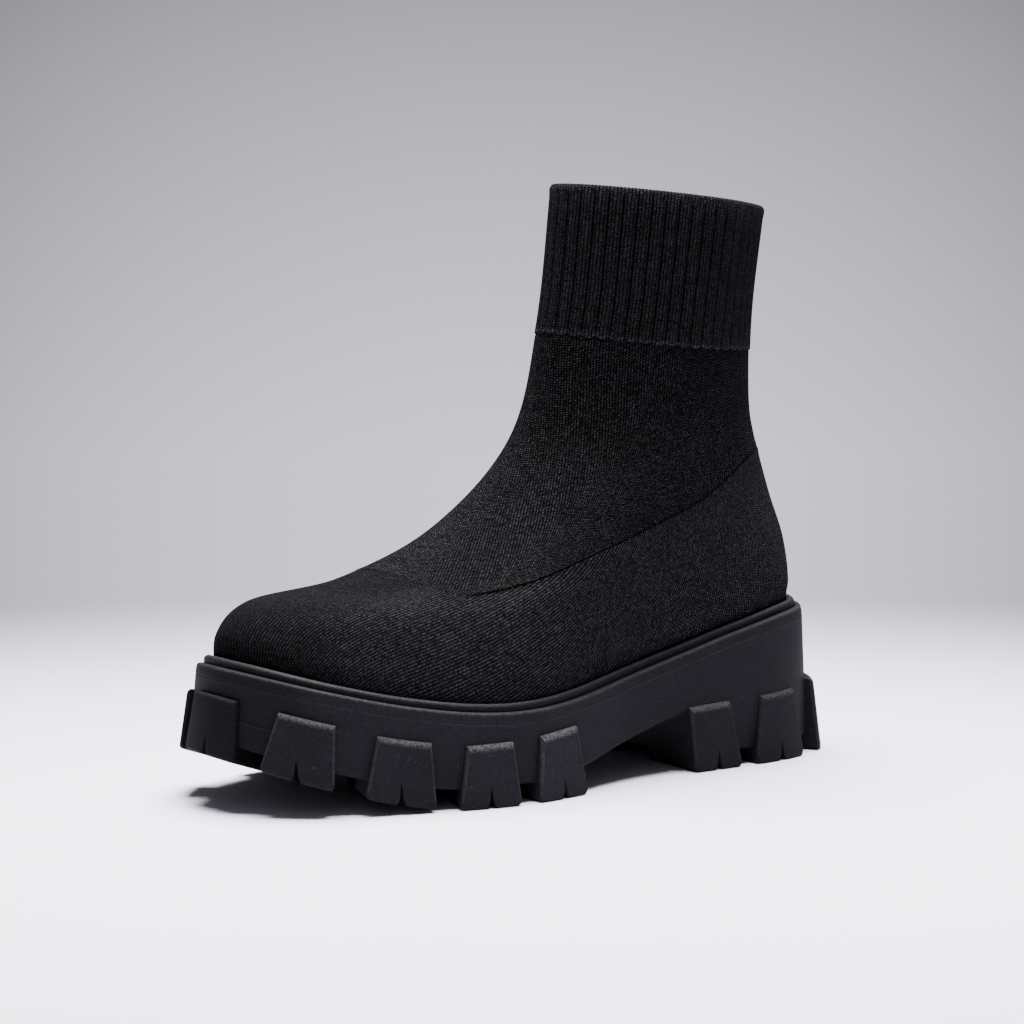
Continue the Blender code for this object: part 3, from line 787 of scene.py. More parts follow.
def running_sum(values, steps):
    """Integral of values over steps, from nothing at the first one, by the trapezium rule."""
    return np.concatenate([[0.0], np.cumsum((values[1:] + values[:-1]) / 2 * np.diff(steps))])


def level_climbs(level):
    """Millimetres along the surface from the feather edge up to a level, at the back and at the front."""
    rows = np.array(LEVELS)
    back = loop_run(rows[:, 1:3])
    front = loop_run(rows[:, 3:5])
    return smooth_curve(rows[:, 0], back, level), smooth_curve(rows[:, 0], front, level)


def vamp_stitches(angle, level, settings):
    """Wale and course counts of the vamp at an angle and level.

    At heel and toe the wales are even along the loop, one to a wale_pitch.  In the window along the
    forefoot they are fewer, and a turn that grows with the level makes them slant back along the foot.
    Where the window ends towards the toe more wales are added, as many as the turn takes away there.
    A course counts the rise of the levels, less the run along the forefoot where the wales slant.
    """
    steps = np.linspace(0.0, np.pi, WALK_SEGMENTS)
    ladder = np.linspace(0.0, 1.0, WALK_SEGMENTS)
    window = wale_window(steps)
    run = loop_run(level_surface(steps, np.full(steps.shape, WALE_LEVEL)))
    toe = smooth_step(*(share * np.pi for share in TOE_OPEN_TURN), steps)
    heel = 1 - smooth_step(*(share * np.pi for share in HEEL_CLOSE_TURN), steps)
    even = np.gradient(run, steps) * MM / settings.wale_pitch * (1 - TOE_OPEN * toe + HEEL_CLOSE * heel)
    lost = WALE_TURN * WALE_TOE_SHARE * np.clip(-np.gradient(window, steps), 0.0, None)
    count = running_sum(even * (1 - window) + WALE_TURN_DENSITY * window + lost, steps)
    scale = np.round(count[-1]) / count[-1]
    turned = np.interp(level, ladder, running_sum(1 - smooth_step(*WALE_TURN_FADE, ladder), ladder))
    turn = half_turn(angle)
    wale = np.interp(turn, steps, count * scale) + WALE_TURN * wale_window(angle) * turned
    wale = np.where(angle <= np.pi, wale, 2 * np.round(count[-1]) - wale)
    drag = np.interp(turn, steps, running_sum(window, steps))
    rise, forward = level_climbs(level)
    climb = rise + (forward - rise) * smooth_step(*COURSE_FRONT, foot_station(angle))
    tall = 1 - COURSE_TURN_SHARE * wale_window(angle) - TOE_OPEN * np.interp(turn, steps, toe)
    course = climb * tall - COURSE_DRAG * drag * (1 - smooth_step(0.0, COURSE_FADE, level))
    return wale, course * MM / settings.course_pitch, 2 * np.round(count[-1])


def sock_stitches(points, angle, level, settings):
    """Wale and course counts of the sock: wales are SOCK_PITCH apart from the middle of each side.

    Before the middle the count runs along each row of points; behind it every row takes the count of the
    row nearest SOCK_LEVEL, so that wales stand upright.  Both sides are alike, and a last column closes
    the back.  Courses rise with the levels, SOCK_COURSE times as tall as the vamp's.
    """
    closed = np.concatenate([points, points[:, :1]], axis=1)
    gaps = np.linalg.norm(np.diff(closed, axis=1), axis=2)
    run = np.concatenate([np.zeros((len(points), 1)), np.cumsum(gaps, axis=1)], axis=1)
    quarter = UPPER_SEGMENTS // 4
    column = np.arange(UPPER_SEGMENTS + 1)
    span = np.where(column <= 2 * quarter, run - run[:, quarter, None], run[:, 3 * quarter, None] - run)
    upright = span[np.argmin(np.abs(level[:, 0] - SOCK_LEVEL))]
    ahead = (column > quarter) & (column < 3 * quarter)
    wale = np.where(ahead, span, upright) / SOCK_PITCH
    rise, forward = level_climbs(level)
    climb = rise + (forward - rise) * foot_station(angle)
    return wale, climb * MM / (SOCK_COURSE * settings.course_pitch)


def corner_values(grid, far_side):
    """Values of a closed grid at its quads' corners; past the last column come the far side's values."""
    rows, columns = grid.shape
    grid = np.concatenate([grid, far_side], axis=1)
    row = np.arange(rows)[:, None]
    column = np.arange(columns)[None, :]
    on = (row + 1) % rows
    corners = ((row, column), (on, column), (on, column + 1), (row, column + 1))
    return np.stack([grid[i, j] for i, j in corners], axis=-1).ravel()


# Rows of the knit on each side of the seam, as distances in millimetres, and shares of the panels
SEAM_ROWS = (-4.0, -3.0, -2.2, -1.6, -1.2, -0.9, -0.65, -0.45, -0.28, -0.14, 0.0,
             0.14, 0.28, 0.45, 0.65, 0.9, 1.2, 1.6, 2.2, 3.0, 4.0)
VAMP_ROW_COUNT = 44
SOCK_ROW_COUNT = 46
INNER_ROW_COUNT = 12
# Top of the sock, tucked in under the cuff's foot
TUCK_LEVEL = 0.012
TUCK_DEPTH = 0.8
TUCK_FADE = (-0.15, 0.6)
# Seam: stations where it turns from a groove to a step, breaks into dashes, and lies flush again
SEAM_TURN = (0.50, 0.80)
SEAM_BREAK = (0.64, 0.72)
SEAM_FLUSH = (0.72, 0.80)
SEAM_STEP_SHARE = 0.35
SEAM_STEP_HALF = 0.35
HEEL_PANEL_STAND = 0.15
HEEL_SOCK_STAND = -0.15
# Depth of the seam's groove along the foot, its half width at the heel and how much narrower it is in front
SEAM_SHARE_STATIONS = (0.0, 0.08, 0.20, 0.45, 0.62, 0.69, 0.73, 0.78, 0.86, 0.94, 1.0)
SEAM_SHARES = (0.08, 0.25, 0.42, 0.50, 0.50, 0.85, 1.00, 0.20, 0.06, 0.26, 0.22)
SEAM_WIDTH = 1.05
SEAM_NARROWS = 0.60
# The seam's deepest, most ragged stretch: its station and spans, and what it adds to sway and width
DEEP_STATION = 0.72
DEEP_SWAY_SPAN = 0.06
DEEP_SWAY = 1.2
DEEP_WIDTH_SPAN = 0.05
DEEP_WIDTH = 0.15
# Waves that make the seam ragged: length and height in millimetres, and phase
SEAM_WAVES = ((9.7, 0.16, 0.4), (4.1, 0.16, 1.9), (2.3, 0.14, 3.3))
SEAM_SLANT = 0.35
DASH_EDGES = (0.25, 0.75)
DASH_DIP = 0.25
# Soft rolls beside the seam: height, distance and half width in millimetres
SEAM_ROLLS = ((0.22, 1.3, 0.8), (0.20, -1.4, 0.9))
# Painted shade on the sock over the seam near the heel: strength, edge and reach in millimetres
SEAM_PAINTED_SHADE = 0.22
SEAM_SHADE_EDGE = (-0.2, 0.4)
SEAM_SHADE_REACH = 5.0
# Tones of the knit: stitches apart on the toe, and painted shade on the shaft, on the vamp under the front
# of the seam and on the foot of the toe
DOTTED_STATIONS = (0.84, 1.0)
SHAFT_PAINTED_SHADE = 0.24
SHAFT_LEVELS = (0.56, 0.74)
VAMP_PAINTED_SHADE = 0.36
VAMP_SHADE_STATION = 0.80
VAMP_SHADE_SPAN = 0.11
VAMP_SHADE_REACH = 16.0
TOE_PAINTED_SHADE = 0.28
TOE_SHADE_STATIONS = (0.80, 0.97)
TOE_SHADE_LEVELS = (0.05, 0.22)


def seam_relief(distance, run, station, settings):
    """Stand-off near the seam: a step between vamp and sock, a groove in it, and a soft roll on each side.

    Over the instep the sock stands out and the groove is a row of dashes pulled in by the stitches; towards
    the heel the lower panel stands out over a wide soft groove, and painted shade darkens the sock over
    it.  Waves make the groove ragged.  Returns the stand-off and the shift of tone, which is painted shade
    in the groove and on the sock over it.
    """
    front = smooth_step(*SEAM_TURN, station)
    flush = 1 - (1 - SEAM_STEP_SHARE) * smooth_step(*SEAM_FLUSH, station)
    low_stand = HEEL_PANEL_STAND + (VAMP_STAND * flush - HEEL_PANEL_STAND) * front
    high_stand = HEEL_SOCK_STAND + (SOCK_STAND * flush - HEEL_SOCK_STAND) * front
    step = low_stand + (high_stand - low_stand) * smooth_step(-SEAM_STEP_HALF, SEAM_STEP_HALF, distance)
    sway = sum(height * np.sin(2 * np.pi * run / length + phase) for length, height, phase in SEAM_WAVES)
    sway = sway * (1 + DEEP_SWAY * bell(station, DEEP_STATION, DEEP_SWAY_SPAN))
    wave = 0.5 + 0.5 * np.cos(2 * np.pi * (run * MM / settings.stitch_pitch + SEAM_SLANT * distance))
    gaps = smooth_step(*SEAM_BREAK, station) * (1 - smooth_step(*DASH_EDGES, wave))
    dash = np.clip(1 - gaps - DASH_DIP * (1 - wave), 0.0, 1.0)
    share = smooth_curve(SEAM_SHARE_STATIONS, SEAM_SHARES, station)
    width = SEAM_WIDTH - SEAM_NARROWS * front + DEEP_WIDTH * bell(station, DEEP_STATION, DEEP_WIDTH_SPAN)
    cut = share * dash * bell(distance, sway, width)
    rolls = flush * sum(height * bell(distance, middle, half) for height, middle, half in SEAM_ROLLS)
    fading = np.exp(-np.clip(distance, 0.0, None) / SEAM_SHADE_REACH)
    # Painted shade on the sock over the seam towards the heel
    shade = SEAM_PAINTED_SHADE * (1 - front) * smooth_step(*SEAM_SHADE_EDGE, distance) * fading
    # The groove's depth and the shade over it return as painted shade in the tone
    return step - settings.seam_depth / MM * cut + rolls, -np.clip(cut + shade, 0.0, 1.0)


def loop_run(points):
    """Length along a row of points from its first one, in millimetres."""
    gaps = np.linalg.norm(np.diff(points, axis=0), axis=1)
    return np.concatenate([[0.0], np.cumsum(gaps)])


def knit_shell(settings):
    """Vamp and sock: outer rows from the feather edge up to the cuff, then inner rows back down.

    Returns grids of points, angles, levels and shifts of tone that carry painted shade, and the row at
    the seam.
    """
    angle = even_angles(UPPER_SEGMENTS)
    station = foot_station(angle)
    seam = seam_level(angle)
    top = cuff_level(angle) + TUCK_LEVEL
    _, per_level = level_slopes(angle, seam)
    near = np.array(SEAM_ROWS)[:, None] / per_level
    vamp = np.linspace(0.0, 1.0, VAMP_ROW_COUNT, endpoint=False)[:, None] * (seam + near[0])
    sock_share = np.linspace(0.0, 1.0, SOCK_ROW_COUNT + 1)[1:, None]
    sock_start = seam + near[-1]
    levels = np.concatenate([vamp, seam + near, sock_start + sock_share * (top - sock_start)])
    angles = np.broadcast_to(angle, levels.shape)
    normal, _ = level_slopes(angles, levels)
    distance = (levels - seam) * per_level
    run = loop_run(level_surface(angle, seam))
    stand, shift = seam_relief(distance, run, station, settings)
    tuck = smooth_step(*TUCK_FADE, (levels - cuff_level(angle)) / TUCK_LEVEL)
    outer = level_surface(angles, levels) + (stand - TUCK_DEPTH * tuck)[..., None] * normal
    inner_levels = np.linspace(1.0, 0.0, INNER_ROW_COUNT)[:, None] * top
    inner_angles = np.broadcast_to(angle, inner_levels.shape)
    inner_normal, _ = level_slopes(inner_angles, inner_levels)
    inner = level_surface(inner_angles, inner_levels) - KNIT_WALL * inner_normal
    ledge = rim_height(station) - LEDGE_DROP + PIECE_GAP
    outer[0, :, 2] = ledge
    inner[-1, :, 2] = ledge
    seam_row = VAMP_ROW_COUNT + SEAM_ROWS.index(0.0)
    # Painted shade on the shaft, on the vamp under the front of the seam and at the toe's foot
    shift = shift - SHAFT_PAINTED_SHADE * smooth_step(*SHAFT_LEVELS, levels)
    under_seam = np.exp(np.clip(distance, None, 0.0) / VAMP_SHADE_REACH) * (distance < 0)
    shift = shift - VAMP_PAINTED_SHADE * bell(station, VAMP_SHADE_STATION, VAMP_SHADE_SPAN) * under_seam
    toe_foot = smooth_step(*TOE_SHADE_STATIONS, station) * (1 - smooth_step(*TOE_SHADE_LEVELS, levels))
    shift = shift - TOE_PAINTED_SHADE * toe_foot
    plain = np.zeros(inner_levels.shape)
    pairs = ((outer, inner), (angles, inner_angles), (levels, inner_levels), (shift, plain))
    return *(np.concatenate(pair) for pair in pairs), seam_row


class BOOT_OT_upper(bpy.types.Operator):
    """Build the knit of vamp and sock with the seam between them"""

    bl_idname = "boot.upper"
    bl_label = "Knit upper"

    def execute(self, context):
        settings = context.scene.boot_knit
        vamp = knit_material("vamp_knit", settings, VAMP_KNIT)
        sock = knit_material("sock_knit", settings, SOCK_KNIT)
        lining = cloth_material("lining", settings.lining_colour, LINING_WEAVE)
        points, angles, levels, tone, seam_row = knit_shell(settings)
        rows, columns = angles.shape
        quads = grid_quads(rows, columns, closed_rows=True)
        row_of_quad = np.repeat(np.arange(rows), columns)
        look = np.where(row_of_quad < seam_row, 0, 1)
        look = np.where(row_of_quad >= rows - INNER_ROW_COUNT, 2, look)
        piece = add_piece("knit_upper", points, quads, (vamp, sock, lining), "knit", "upper", look)
        # The knit's shift of tone, which carries its painted shade
        add_value(piece, "painted_shade_and_tone", tone)
        on_vamp = levels < seam_level(angles)
        add_value(piece, "dotted", smooth_step(*DOTTED_STATIONS, foot_station(angles)) * on_vamp)
        vamp_wale, vamp_course, around = vamp_stitches(angles, levels, settings)
        sock_wale, sock_course = sock_stitches(points, angles, levels, settings)
        on_sock = np.repeat(look != 0, 4)
        wale = np.where(on_sock, corner_values(sock_wale[:, :-1], sock_wale[:, -1:]),
                        corner_values(vamp_wale, vamp_wale[:, :1] + around))
        course = np.where(on_sock, corner_values(sock_course, sock_course[:, :1]),
                          corner_values(vamp_course, vamp_course[:, :1]))
        add_corner_map(piece, "stitches", wale, course)
        return {"FINISHED"}


# Ribbed cuff: rows near its foot as distances in millimetres from its lower edge, and rows further on
CUFF_FOOT_ROWS = (-0.6, -0.35, -0.1, 0.2, 0.5, 0.9, 1.4, 2.1, 3.0)
CUFF_ROW_COUNT = 40
CUFF_INNER_ROWS = 10
HEM_STEPS = 9
# A rib: flat share of its half, roundness of its crown, how far it stands out, and the wave of its foot
RIB_FLANK = 0.68
RIB_CROWN = 0.16
RIB_STAND = 0.45
RIB_SCALLOP = 1.2
RIB_SCALLOP_LEVEL = 0.62
# Grooves fade in above the foot and out under the hem; the foot rolls out from inside the sock's wall
RIB_START = (-0.4, 1.0)
RIB_FADE = 1.6
FOOT_DEPTH = 0.8
FOOT_ROLL_START = 0.5
FOOT_ROLL_RADIUS = 1.3
# Hem: its rise over the collar's edge, the height over which it swells, and the bumps of its loops
HEM_RISE = 2.3
HEM_SWELL = 2.4
HEM_BUMP = 0.10
# Tones: painted shade in the grooves, loops along foot and hem lighter
RIB_PAINTED_SHADE = 0.52
FOOT_GLOW = 1.7
FOOT_GLOW_MIDDLE = 0.5
FOOT_GLOW_SPAN = 0.7
HEM_TONE = 0.40
HEM_GLOW = 1.15
HEM_GLOW_ROWS = 9


def from_rib_middle(phase):
    """Distance from the middle of a rib: 0 there and 1 in the groove at each whole number of the phase."""
    return np.abs(phase - np.floor(phase) - 0.5) * 2


def rib_share(phase):
    """About 1 on a rib's flat crown and 0 or less in the narrow groove beside it."""
    aside = from_rib_middle(phase)
    return (1 - smooth_step(RIB_FLANK, 1.0, aside)) - RIB_CROWN * aside ** 2


def cuff_shell(settings):
    """Ribbed cuff as one closed wall: rolled foot, ribs, hem folded over the collar, and inner face.

    Ribs are even along the collar's length.  A rib stands RIB_STAND off the level surface, the grooves
    between ribs are rib_depth deep and fade at the hem, and each rib's foot hangs down as a parabola.
    Returns grids of points and of wale and course counts.
    """
    walk = even_angles(WALK_SEGMENTS)
    closed = np.concatenate([walk, [2 * np.pi]])
    run = loop_run(level_surface(closed, np.full(closed.shape, (CUFF_BACK_LEVEL + 1) / 2)))
    columns = settings.rib_count * RIB_SEGMENTS
    share = np.arange(columns) / columns
    angle = np.interp(share * run[-1], run, closed)
    phase = share * settings.rib_count
    foot = cuff_level(angle)
    _, per_level = level_slopes(angle, (foot + 1) / 2)
    scallop = RIB_SCALLOP * (from_rib_middle(phase) ** 2 - RIB_SCALLOP_LEVEL)
    hem_level = 1 - HEM_RISE / per_level
    foot_rows = foot + (np.array(CUFF_FOOT_ROWS)[:, None] + scallop) / per_level
    main_share = np.linspace(0.0, 1.0, CUFF_ROW_COUNT + 1)[1:, None]
    levels = np.concatenate([foot_rows, foot_rows[-1] + main_share * (hem_level - foot_rows[-1])])
    angles = np.broadcast_to(angle, levels.shape)
    up = (levels - foot_rows[0]) * per_level + CUFF_FOOT_ROWS[0]
    below_hem = (hem_level - levels) * per_level
    rolled = np.clip((up + FOOT_ROLL_START) / FOOT_ROLL_RADIUS, 0.0, 1.0)
    roll = np.sqrt(np.clip(1 - (1 - rolled) ** 2, 0.0, 1.0))
    ribbed = smooth_step(*RIB_START, up) * smooth_step(0.0, RIB_FADE, below_hem)
    crest = RIB_STAND + (CUFF_STAND - RIB_STAND) * (1 - smooth_step(0.0, HEM_SWELL, below_hem))
    groove = settings.rib_depth / MM * ribbed * (1 - rib_share(phase))
    stand = -FOOT_DEPTH + roll * (crest + FOOT_DEPTH) - groove
    normal, _ = level_slopes(angles, levels)
    outer = level_surface(angles, levels) + stand[..., None] * normal
    # Hem: half a turn from the outer face over the top to the inner face
    turn = np.linspace(0.0, np.pi, HEM_STEPS + 2)[1:-1, None]
    thickness = CUFF_STAND + KNIT_WALL
    hem_angles = np.broadcast_to(angle, (HEM_STEPS, columns))
    hem_levels = np.broadcast_to(hem_level, (HEM_STEPS, columns))
    hem_normal, _ = level_slopes(hem_angles, hem_levels)
    offset = -KNIT_WALL + thickness * (1 + np.cos(turn)) / 2
    loops = HEM_BUMP * np.cos(2 * np.pi * phase * settings.rib_wales)
    lift = (HEM_RISE + loops) * np.sin(turn)
    upward = level_surface(angle, np.ones(columns)) - level_surface(angle, hem_level)
    upward /= np.linalg.norm(upward, axis=1)[:, None]
    hem = level_surface(hem_angles, hem_levels) + offset[..., None] * hem_normal + lift[..., None] * upward
    inner_levels = hem_level + np.linspace(0.0, 1.0, CUFF_INNER_ROWS)[:, None] * (foot - hem_level)
    inner_angles = np.broadcast_to(angle, inner_levels.shape)
    inner_normal, _ = level_slopes(inner_angles, inner_levels)
    inner = level_surface(inner_angles, inner_levels) - KNIT_WALL * inner_normal
    points = np.concatenate([outer, hem, inner])
    # Stitches: whole columns in each rib, and courses along the wall from its foot
    wales = np.broadcast_to(phase * settings.rib_wales, points.shape[:2])
    steps = np.linalg.norm(np.diff(points, axis=0), axis=2).mean(axis=1)
    courses = np.concatenate([[0.0], np.cumsum(steps)]) * MM / settings.course_pitch
    return points, wales, np.broadcast_to(courses[:, None], points.shape[:2])


def cuff_tone(rows, columns):
    """Shifts of tone over the cuff's rows: painted shade in the grooves, lighter along the foot and the
    hem.
    """
    groove = 1 - rib_share(np.arange(columns) / RIB_SEGMENTS)
    tone = np.repeat(-RIB_PAINTED_SHADE * groove[None], rows, axis=0)
    foot = FOOT_GLOW * bell(np.array(CUFF_FOOT_ROWS), FOOT_GLOW_MIDDLE, FOOT_GLOW_SPAN)
    tone[:len(CUFF_FOOT_ROWS)] += foot[:, None]
    hem_row = rows - CUFF_INNER_ROWS - HEM_STEPS
    glow = HEM_GLOW * np.linspace(0.0, 1.0, HEM_GLOW_ROWS) ** 2
    tone[hem_row - HEM_GLOW_ROWS:hem_row] += glow[:, None]
    tone[hem_row:-CUFF_INNER_ROWS] = HEM_TONE
    return tone


class BOOT_OT_cuff(bpy.types.Operator):
    """Build the ribbed cuff with its folded hem"""

    bl_idname = "boot.cuff"
    bl_label = "Ribbed cuff"

    def execute(self, context):
        settings = context.scene.boot_knit
        ribs = knit_material("cuff_knit", settings, CUFF_KNIT)
        lining = cloth_material("cuff_lining", settings.lining_colour, LINING_WEAVE)
        points, wale, course = cuff_shell(settings)
        rows, columns = wale.shape
        quads = grid_quads(rows, columns, closed_rows=True)
        inner = np.repeat(np.arange(rows), columns) >= rows - CUFF_INNER_ROWS
        piece = add_piece("ribbed_cuff", points, quads, (ribs, lining), "knit", "upper", inner.astype(int))
        around = settings.rib_count * settings.rib_wales
        add_corner_map(piece, "stitches", corner_values(wale, wale[:, :1] + around),
                       corner_values(course, course[:, :1]))
        # The cuff's shift of tone, with painted shade in its grooves
        add_value(piece, "painted_shade_and_tone", cuff_tone(rows, columns))
        return {"FINISHED"}


# Platform's side: steps of its quarter rounds, rows of its wall as shares, and scuffs with painted
# highlights on flash and rim
FOOT_STEPS = 6
RIM_STEPS = 7
LIP_STEPS = 4
WALL_SHARES = (0.2, 0.4, 0.6, 0.8, 0.94, 1.0)
BAND_OUT = 0.22
BAND_DROP = 0.9
FLASH_WEAR_AND_LIGHT = 0.25
RIM_WEAR_AND_LIGHT = 0.65


def wall_growth(station, height):
    """How far the wall stands out: straight from the parting line down to WALL_DRAFT at the tread."""
    line = rim_height(station) - PARTING_DROP
    base = tread_height(station * RIM_LENGTH) + FORE_RECESS + FOOT_ROUND
    return PARTING_OUT + (WALL_DRAFT - PARTING_OUT) * np.clip((line - height) / (line - base), 0.0, 1.0)


def sole_profile(station):
    """Side of the platform as rows of growth, height, and scuffs with painted highlights, from its foot up
    over the lip to the ledge.

    The foot and the rim's outer edge are quarter rounds; the parting line is a shallow groove under
    a thin flash that stands out a little.
    """
    under = underside_height(station)
    rim = rim_height(station)
    line = rim - PARTING_DROP
    wall_foot = under + FOOT_ROUND
    wall_top = line - 4 * PARTING_HALF
    rows = []
    for turn in np.linspace(0.0, np.pi / 2, FOOT_STEPS):
        grow = wall_growth(station, wall_foot) - FOOT_ROUND * (1 - np.sin(turn))
        rows.append((grow, under + FOOT_ROUND * (1 - np.cos(turn)), 0.0))
    for share in WALL_SHARES:
        height = wall_foot + (wall_top - wall_foot) * share
        rows.append((wall_growth(station, height), height, 0.0))
    rows += [
        # Painted highlight and scuffs along the flash
        (PARTING_OUT + FLASH_RISE, line - 1.8 * PARTING_HALF, FLASH_WEAR_AND_LIGHT),
        (PARTING_OUT + 0.6 * FLASH_RISE, line - PARTING_HALF, FLASH_WEAR_AND_LIGHT),
        (PARTING_OUT - PARTING_DEPTH, line - 0.3 * PARTING_HALF, 0.0),
        (PARTING_OUT - PARTING_DEPTH, line + 0.3 * PARTING_HALF, 0.0),
        (PARTING_OUT - 0.05, line + PARTING_HALF, 0.0),
        (BAND_OUT, rim - RIM_BEVEL - BAND_DROP, 0.0),
    ]
    for turn in np.linspace(0.0, np.pi / 2, RIM_STEPS):
        # Painted highlight and scuffs along the rim's round edge
        worn_and_lit = RIM_WEAR_AND_LIGHT * np.sin(2 * turn)
        rows.append((-RIM_BEVEL * (1 - np.cos(turn)), rim - RIM_BEVEL * (1 - np.sin(turn)), worn_and_lit))
    for turn in np.linspace(0.0, np.pi / 2, LIP_STEPS):
        rows.append((LIP_ROUND * (1 - np.sin(turn)) - LIP_WIDTH, rim - LIP_ROUND * (1 - np.cos(turn)), 0.0))
    rows.append((-LIP_WIDTH, rim - LEDGE_DROP, 0.0))
    return rows


def sole_angles():
    """Even angles, with two close pairs more where the heel breast steps down."""
    stations = (BREAST_STATION - BREAST_WIDTH / 2, BREAST_STATION + BREAST_WIDTH / 2)
    breast = [np.arccos(1 - 2 * station) for station in stations]
    return np.sort(np.concatenate([even_angles(SOLE_SEGMENTS), breast, [2 * np.pi - a for a in breast]]))


def beside_rim(share, along, out, side):
    """Plan points beside the rim: lengths towards the heel from a share of its half, and distances out.

    The rim is walked from the heel tip round one side (+1 left), past the toe tip and on.
    """
    angle = np.linspace(0.0, 2 * np.pi, 2 * WALK_SEGMENTS + 1) * side
    x, y, normal_x, normal_y = rim_frame(angle)
    run = loop_run(np.stack([x, y], axis=1))
    place = share * run[WALK_SEGMENTS] - along
    x, y, normal_x, normal_y = [np.interp(place, run, column) for column in (x, y, normal_x, normal_y)]
    return np.stack([x + out * normal_x, y + out * normal_y], axis=-1)


def lug_outline(lug, inset, lowered, notch):
    """One ring of a lug in columns from its toe side to its heel side: lower points, then upper ones back.

    A trapezoid on its wider side with round corners at its foot and a narrow notch between them, drawn in
    by an inset at its sides and foot, and lowered at its top.
    """
    foot = lug.foot_width / 2
    top = lug.top_width / 2
    level = foot - inset - LUG_CORNER
    slit = NOTCH_SLIT + notch - NOTCH_HALF_WIDTH
    gap = np.array(((0.0, NOTCH_HEIGHT - inset), (slit, NOTCH_FLARE - inset), (notch, 0.0)))
    bends = np.outer(LUG_BENDS, (level, 0.0))
    turn = np.linspace(0.0, np.pi / 2, LUG_CORNER_STEPS)
    corner = LUG_CORNER * np.stack([np.sin(turn), 1 - np.cos(turn)], axis=1)
    corner[:, 0] -= (foot - top) * corner[:, 1] / lug.height
    right = np.concatenate([gap, bends, corner + (level, 0.0)])
    lower = np.concatenate([right[:0:-1] * (-1.0, 1.0), right]) + (0.0, inset)
    across = lower[:, 0] / lower[-1, 0]
    lower[:, 0] += lug.skew * lower[:, 1] / lug.height * np.abs(across) ** 4
    high = lug.height - lowered
    narrowed = top + (foot - top) * lowered / lug.height - inset
    upper = np.stack([lug.skew * high / lug.height + across * narrowed, high + across * lug.tilt], axis=1)
    return np.concatenate([lower, upper[::-1]])


def lug_rings(lug, side):
    """Rings of a lug from its inner end to its face: a wedge whose edges are quarter rounds.

    At a turn from nothing to a right angle a ring is the body's outline drawn in by the edge's width
    times 1 less the cosine, and set back from the leaning face by its depth times 1 less the sine.
    """
    body = lug_outline(lug, 0.0, 0.0, NOTCH_HALF_WIDTH)
    depth = np.full(len(body), LUG_SIDE_ROUND)
    depth[len(body) // 2:] = LUG_TOP_DEPTH
    rings = [(body * (LUG_INNER_TAPER, 1.0), np.full(len(body), -lug.reach))]
    for turn in np.linspace(0.0, np.pi / 2, LUG_ROUND_STEPS):
        drawn = 1 - np.cos(turn)
        notch = NOTCH_HALF_WIDTH + NOTCH_ROUND * drawn
        ring = lug_outline(lug, LUG_SIDE_ROUND * drawn, LUG_TOP_ROUND * drawn, notch)
        lean = lug.stand + LUG_FACE_FOOT + (LUG_FACE_TOP - LUG_FACE_FOOT) * ring[:, 1] / lug.height
        rings.append((ring, lean - depth * (1 - np.sin(turn))))
    points = []
    for ring, out in rings:
        plan = beside_rim(lug.station, ring[:, 0], out, side)
        points.append(np.column_stack([plan, tread_height(plan[:, 0]) + ring[:, 1]]))
    return np.array(points)


def lug_polygons(rings, sides):
    """Faces of a stack of lug rings: quads between the rings, and strips of columns at both ends."""
    column = np.arange(sides // 2 - 1)
    strip = np.stack([column, column + 1, sides - 2 - column, sides - 1 - column], axis=1)
    return [*grid_quads(rings, sides)[:, ::-1], *strip[:, ::-1], *(strip + (rings - 1) * sides)]


def lug_wear_and_light(lug, rings, sides):
    """Lighter scuffs and painted highlights on a lug's faces: fading down the strip at the top, less on the
    sides, and varied by lug.
    """
    worn_and_lit = np.zeros((rings, sides))
    worn_and_lit[:, sides // 2:-1] = np.array(LUG_TOP_WEAR_AND_LIGHT)[:, None]
    worn_and_lit[2:-1, [sides // 2 - 1, sides - 1]] = LUG_SIDE_WEAR_AND_LIGHT
    worn_and_lit *= LUG_WEAR_AND_LIGHT_SHARES.get(lug.name, 1.0)
    return np.concatenate([worn_and_lit[:-1].ravel(), np.zeros(2 * (sides // 2 - 1))])


# Pad between the left toe lugs: its ends as shares of the half rim, its height, stand and rounding
TOE_PAD_SHARES = (0.900, 0.945)
TOE_PAD_HEIGHT = 9.5
TOE_PAD_STAND = 0.9
TOE_PAD_ROOT = -1.0
TOE_PAD_STEPS = 14
TOE_PAD_ROUND = (0.0, 0.3, 0.7, 1.0)


def toe_pad():
    """Low raised panel between the left toe lugs: a bar along the rim with a round upper edge."""
    share = np.linspace(*TOE_PAD_SHARES, TOE_PAD_STEPS)
    station = beside_rim(share, 0.0, 0.0, 1)[:, 0] / RIM_LENGTH
    root = np.full(TOE_PAD_STEPS, TOE_PAD_ROOT)
    low = underside_height(station) + FOOT_ROUND * 0.5
    high = low + TOE_PAD_HEIGHT
    section = [(root, low), (wall_growth(station, low) + TOE_PAD_STAND, low)]
    for turn in np.array(TOE_PAD_ROUND) * np.pi / 2:
        out = wall_growth(station, high) + TOE_PAD_STAND * np.cos(turn)
        section.append((out, high - TOE_PAD_STAND * (1 - np.sin(turn))))
    section.append((root, high))
    rings = [np.column_stack([beside_rim(share, 0.0, out, 1), height]) for out, height in section]
    return np.stack(rings, axis=1)


def ring_polygons(rings, sides):
    """Faces of a stack of rings with both ends closed, facing out where the rings run anticlockwise."""
    quads = grid_quads(rings, sides)[:, ::-1]
    return [*quads, np.arange(sides)[::-1], np.arange(sides) + (rings - 1) * sides]


